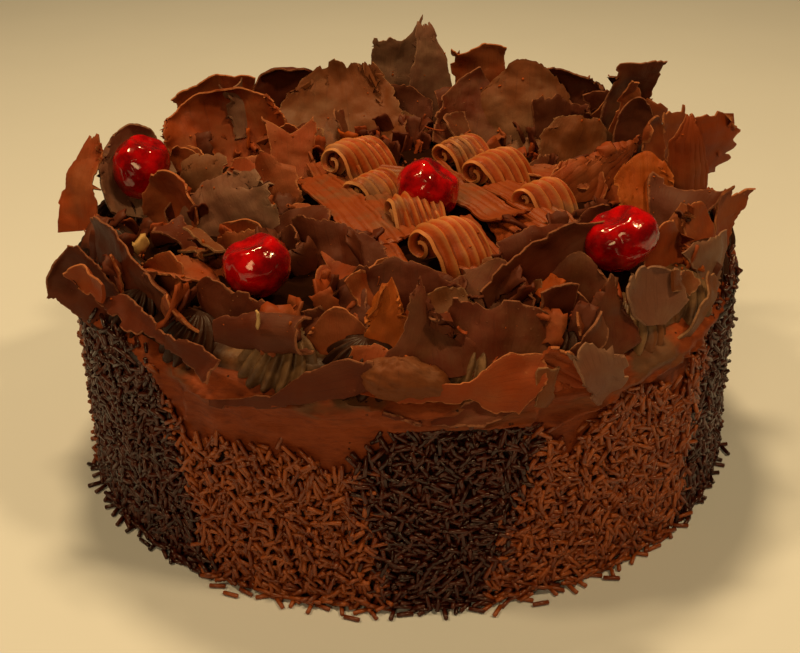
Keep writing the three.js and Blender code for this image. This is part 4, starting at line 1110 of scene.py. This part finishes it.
def combed_curl(name, spec, seed):
    """A strip with sharp combed ridges, drawn row by row along a wave that rolls into an open spiral. Its
    first rings are small and thick, and its rings turn more to the front than its length does."""
    swing = math.radians(spec["swing"])
    length, scale = spec["length"] * 0.92 * math.cos(swing), spec["scale"] * CURL["swell"]
    rng = random.Random(seed)
    steps = list(FIRST_RIDGES)
    while sum(steps) < length:
        steps.append(rng.uniform(2.2, 3.0))
    edges = [sum(steps[:k]) * length / sum(steps) for k in range(len(steps) + 1)]
    insets = [CURL["radius"] * scale * share for share in FIRST_INSETS]
    insets += [rng.uniform(-0.35, 0.35) for _ in range(len(steps) - 2)]
    columns, rows = len(steps) * RIDGE_COLUMNS, CURL_ROWS
    rest()
    bpy.ops.mesh.primitive_grid_add(x_subdivisions=columns, y_subdivisions=rows, size=1)
    strip = named(name)
    settle(strip, size=(length * MM, rows * MM, 1))
    with Edit(strip) as edit:
        verts = list(edit.mesh.verts)
        for j in range(columns + 1):
            ridge = min(j // RIDGE_COLUMNS, len(steps) - 1)
            share = (j - ridge * RIDGE_COLUMNS) / RIDGE_COLUMNS
            depth = 0.4 * steps[ridge] * math.sin(math.pi * share) ** 0.8
            inset = insets[ridge] + (insets[ridge + 1] - insets[ridge]) * share ** 6
            aside = edges[ridge] + steps[ridge] * share * length / sum(steps) - j / columns * length
            edit.pick(verts[j::columns + 1])
            edit.move(x=aside, z=inset + depth, y=3 * noise.noise((j / 9, seed * 1.9, 0.5)))
        for i in range(rows + 1):
            share = i / rows
            here, ahead = curl_path(share, scale), curl_path(share + 0.01, scale)
            slope = math.degrees(math.atan2(ahead[1] - here[1], ahead[0] - here[0]))
            centre = (0, (share - 0.5) * rows * MM, 0)
            edit.pick(verts[i * (columns + 1):(i + 1) * (columns + 1)])
            edit.resize(z=1 - 0.55 * share, about=centre)
            edit.turn(slope, "X", centre)
            wander = 1.2 * noise.noise((share * 4, seed * 2.3, 0.5))
            edit.move(x=wander, y=here[0] - (share - 0.5) * rows, z=here[1])
        for j in range(columns + 1):
            edit.pick(verts[j::columns + 1])
            edit.move(y=math.tan(swing) * (j / columns - 0.5) * length)
        edit.pick_all()
        edit.scramble(0.05, seed)
    crests = [abs(((j / RIDGE_COLUMNS) % 1) * 2 - 1) for j in range(columns + 1)]
    mark(strip.data, "crest", crests * (rows + 1))
    centre = place(*spec["at"]) + heading(spec["axis"]) * spec["length"] * MM / 2
    axle, tail = heading(spec["axis"] + spec["swing"]), heading(spec["axis"] + spec["swing"] - 90)
    turn = Matrix((axle, tail, Vector((0, 0, 1)))).transposed().to_4x4()
    settle(strip, pose=Matrix.Translation(centre) @ turn)
    roughen(strip, (14, 3.6))
    modify(strip, "SOLIDIFY", thickness=CURL["wall"] * MM, offset=0)
    return surfaced(strip, CHOCOLATES["combed"], SHEET_CREASE)


# ---- Cherries ----
def glazed_cherry(name, spec):
    """A ball with a dimple, wrinkled by the syrup."""
    rest()
    bpy.ops.mesh.primitive_uv_sphere_add(segments=96, ring_count=64, radius=CHERRY_RADIUS * MM)
    cherry = named(name)
    settle(cherry, size=spec["size"])
    with Edit(cherry) as edit:
        edit.pick_where(lambda co: co.z > (CHERRY_RADIUS * spec["size"][2] - 0.1) * MM)
        edit.drag(z=-3.2, reach=7)
    settle(cherry, pose=Matrix.Translation(place(*spec["at"])) @ rotation(spec["tilt"], "Y"))
    roughen(cherry, (10, 1.8), (5, 0.3))
    return surfaced(cherry, CHERRY)


# ---- Litter: flakes, quills, splinters and crumbs that have fallen on everything ----
def landing_tree(pieces):
    vertices, faces = [], []
    for obj in pieces:
        base = len(vertices)
        vertices.extend(v.co.copy() for v in obj.data.vertices)
        faces.extend([base + i for i in p.vertices] for p in obj.data.polygons)
    return BVHTree.FromPolygons(vertices, faces)


def small_sheet(width, length, cup, bow, thickness, seed):
    """A small torn flake along Z, for copying."""
    rest()
    bpy.ops.mesh.primitive_grid_add(
        x_subdivisions=6, y_subdivisions=6, size=1, rotation=(math.pi / 2, 0, 0))
    flake = named("flake")
    settle(flake, size=(width * MM, length * MM, 1))
    with Edit(flake) as edit:
        edit.pick_all()
        edit.scramble(min(width, length) * 0.11, seed)
    for axis, degrees in (("Z", cup), ("X", bow)):
        modify(flake, "SIMPLE_DEFORM", deform_method="BEND", deform_axis=axis,
               angle=math.radians(degrees))
    modify(flake, "SOLIDIFY", thickness=thickness * MM, offset=0)
    return flake


def litter(pieces):
    """Lets small shavings and crumbs fall on the top, each where it lands."""
    tree = landing_tree(pieces)
    rng = random.Random(17)
    sky = 160 * MM

    swept = [place(*spec["at"]) for spec in list(CURLS.values()) + list(CHERRIES.values())]
    swept += [place(*spot) for spot in SWEPT]

    def drops(count, reach, highest, level):
        """Places where something falls: within `reach`, no higher than `highest`, off curls and cherries."""
        found = []
        while len(found) < count:
            azimuth, radius = rng.uniform(0, 360), reach * math.sqrt(rng.random())
            start = place(azimuth, radius, 0)
            hit, normal, _, _ = tree.ray_cast(Vector((start.x, start.y, sky)), Vector((0, 0, -1)))
            if not hit or hit.z > highest * MM or hit.z < 60 * MM or normal.z < level:
                continue
            if min((hit.xy - spot.xy).length for spot in swept) > SWEPT_REACH * MM:
                found.append((hit, normal))
        return found

    def thrown(hit, lift, tilt, size):
        """A matrix that leans a shape any way round, by up to `tilt` degrees from standing."""
        return (Matrix.Translation(hit + Vector((0, 0, lift * MM)))
                @ Matrix.Rotation(rng.uniform(0, math.tau), 4, "Z")
                @ rotation(rng.uniform(-tilt, tilt), "X") @ rotation(rng.uniform(-30, 30), "Y")
                @ Matrix.Scale(size, 4))

    def sheets(rows, first_seed):
        return [small_sheet(*row, first_seed + i) for i, row in enumerate(rows)]

    def strew(name, shapes, finish, count, lift, tilt, sizes, seed, reach=110, highest=92):
        placings = [(rng.randrange(len(shapes)), thrown(hit, lift, tilt, rng.uniform(*sizes)))
                    for hit, _ in drops(count, reach, highest, 0.1)]
        made.append(scatter(name, shapes, placings, CHOCOLATES[finish], seed))

    made = []
    flakes, quills, splinters = sheets(FLAKES, 1), sheets(QUILLS, 5), sheets(SPLINTERS, 8)
    for finish, count in (("dark", 120), ("warm", 50), ("lit", 8)):
        strew("flakes_" + finish, flakes, finish, count, 2.0, 55, (0.5, 1.1), 4)
    strew("quills", quills, "warm", 50, 1.0, 90, (0.4, 1.0), 5)
    strew("splinters", splinters, "warm", 80, 1.0, 90, (0.3, 0.8), 6, reach=113, highest=94)
    rest()
    bpy.ops.mesh.primitive_ico_sphere_add(subdivisions=1, radius=MM)
    crumb = named("crumb")
    with Edit(crumb) as edit:
        edit.pick_all()
        edit.scramble(0.35, 4)
    placings = []
    for hit, _ in drops(CRUMBS, 114, 128, 0.15):
        size = 0.12 + 0.5 * rng.random() ** 4
        placings.append((0, thrown(hit, size * 0.4, 180, size) @ Matrix.Diagonal((1, 0.8, 1.5, 1))))
    made.append(scatter("crumbs", [crumb], placings, CHOCOLATES["lit"], 7))
    chips = sheets(ALMONDS, 11)
    placings = [(kind, thrown(place(*spot), 0, 30, 1)) for kind, spot in enumerate(ALMOND_PLACES)]
    made.append(scatter("almond_chips", chips, placings, CHOCOLATES["almond"], 8))
    discard(flakes + quills + splinters + chips + [crumb])
    return made


def heaped_shavings():
    """Middling shavings that fill the heap between the big ones, standing any way round, clear of the
    cherries and the curls."""
    rng = random.Random(31)
    clear = [(place(*spec["at"]), HEAP["off_cherries"]) for spec in CHERRIES.values()]
    clear += [(place(*spec["at"]) + heading(spec["axis"]) * 8 * MM, HEAP["off_curls"])
              for spec in CURLS.values()]
    made = []
    turn = 0
    while len(made) < HEAP["count"]:
        turn += 1
        azimuth = turn * GOLDEN_ANGLE % 360
        radius = HEAP["reach"] * math.sqrt(turn * EVEN_STEPS[1] % 1)
        spot = place(azimuth, radius, 90)
        if min((spot.xy - centre.xy).length - reach * MM for centre, reach in clear) < 0:
            continue
        face = rng.uniform(-75, 75)
        tip = spot + heading(face + 180) * rng.uniform(4, 16) * MM
        spec = ((azimuth, radius, 82), (azimuth_of(tip), tip.xy.length / MM, rng.uniform(89, 98)),
                rng.uniform(16, 30), face, rng.uniform(-50, 50), rng.uniform(-90, 90),
                rng.choice(("petal", "shield", "fan", "disc", "peak")),
                rng.choice(("dark", "warm", "grey", "warm", "pale")),
                {"fray": rng.uniform(0.4, 1.2), "roll": (0.6, rng.uniform(-60, 60))})
        made.append(shaving("filler", spec, 200 + turn, HEAP["pitch"]))
    return made


# ---- Studio ----
def studio():
    """A plain pale floor, soft light and the camera."""
    rest()
    bpy.ops.mesh.primitive_plane_add(size=FLOOR_METRES)
    floor = named("floor")
    s = Shader("pale_floor", specular_ior_level=0.2)
    shade = s.noise(90, detail=2)
    s.finish(s.layered("ccd4e0", (shade, "d0d8e4")), 0.7 + shade * 0.05, s.bump(shade, 0.05))
    floor.data.materials.append(s.material)

    world = bpy.data.worlds.new("studio")
    world.use_nodes = True
    background = world.node_tree.nodes["Background"]
    background.inputs["Color"].default_value = ROOM_LIGHT["colour"]
    background.inputs["Strength"].default_value = ROOM_LIGHT["strength"]
    bpy.context.scene.world = world
    bpy.context.scene.view_settings.view_transform = "Standard"

    for i, (azimuth, radius, height, size, watts) in enumerate(LAMPS):
        data = bpy.data.lights.new(f"lamp_{i}", "AREA")
        data.shape, data.size, data.energy, data.color = "DISK", size * MM, watts, LAMP_COLOUR
        lamp = bpy.data.objects.new(data.name, data)
        lamp.location = place(azimuth, radius, height)
        aim = Vector(LAMPS_AIM) * MM - lamp.location
        lamp.rotation_euler = aim.to_track_quat("-Z", "Y").to_euler()
        bpy.context.scene.collection.objects.link(lamp)

    data = bpy.data.cameras.new("camera")
    data.lens, data.sensor_width, data.sensor_fit = CAMERA["lens"], CAMERA["sensor"], "HORIZONTAL"
    camera = bpy.data.objects.new("camera", data)
    camera.matrix_world = (Matrix.Translation(Vector(CAMERA["at"]) * MM)
                           @ rotation(90 - CAMERA["down"], "X") @ rotation(CAMERA["roll"], "Z"))
    bpy.context.scene.collection.objects.link(camera)
    bpy.context.scene.camera = camera


# ---- Assembly ----
def dress(piece, slot, *nodes):
    """The piece rides with the cake and stands for the named solids."""
    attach(piece, "root")
    if nodes:
        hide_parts(*nodes)
    return piece


studio()
pieces = [dress(frosted_side(), "frosting", "cake_body")]
border_chips = [shaving("chip", spec, 60 + i) for i, spec in enumerate(BORDER_CHIPS)]
border = [piped_border(), frosting_lump()] + border_chips
pieces.append(dress(join("piped_border", border), "cream", "cream_border"))
bed_chips = [shaving("chip", spec, 80 + i) for i, spec in enumerate(BED_CHIPS)]
heap = [shaving_bed()] + bed_chips + heaped_shavings()
pieces.append(dress(join("broken_chocolate", heap), "chocolate", "shaving_bed"))
for i, (name, spec) in enumerate(SHAVINGS.items()):
    pieces.append(dress(shaving(name + "_sheet", spec, i + 1), "chocolate", name))
for i, (name, spec) in enumerate(CURLS.items()):
    pieces.append(dress(combed_curl(name + "_comb", spec, i + 1), "milk_curl", name))
for name, spec in CHERRIES.items():
    pieces.append(dress(glazed_cherry(name + "_glazed", spec), "cherry", name))
for piece in litter(pieces):
    dress(piece, "chocolate")
for piece in sprinkle_coat():
    dress(piece, "frosting")

rest()
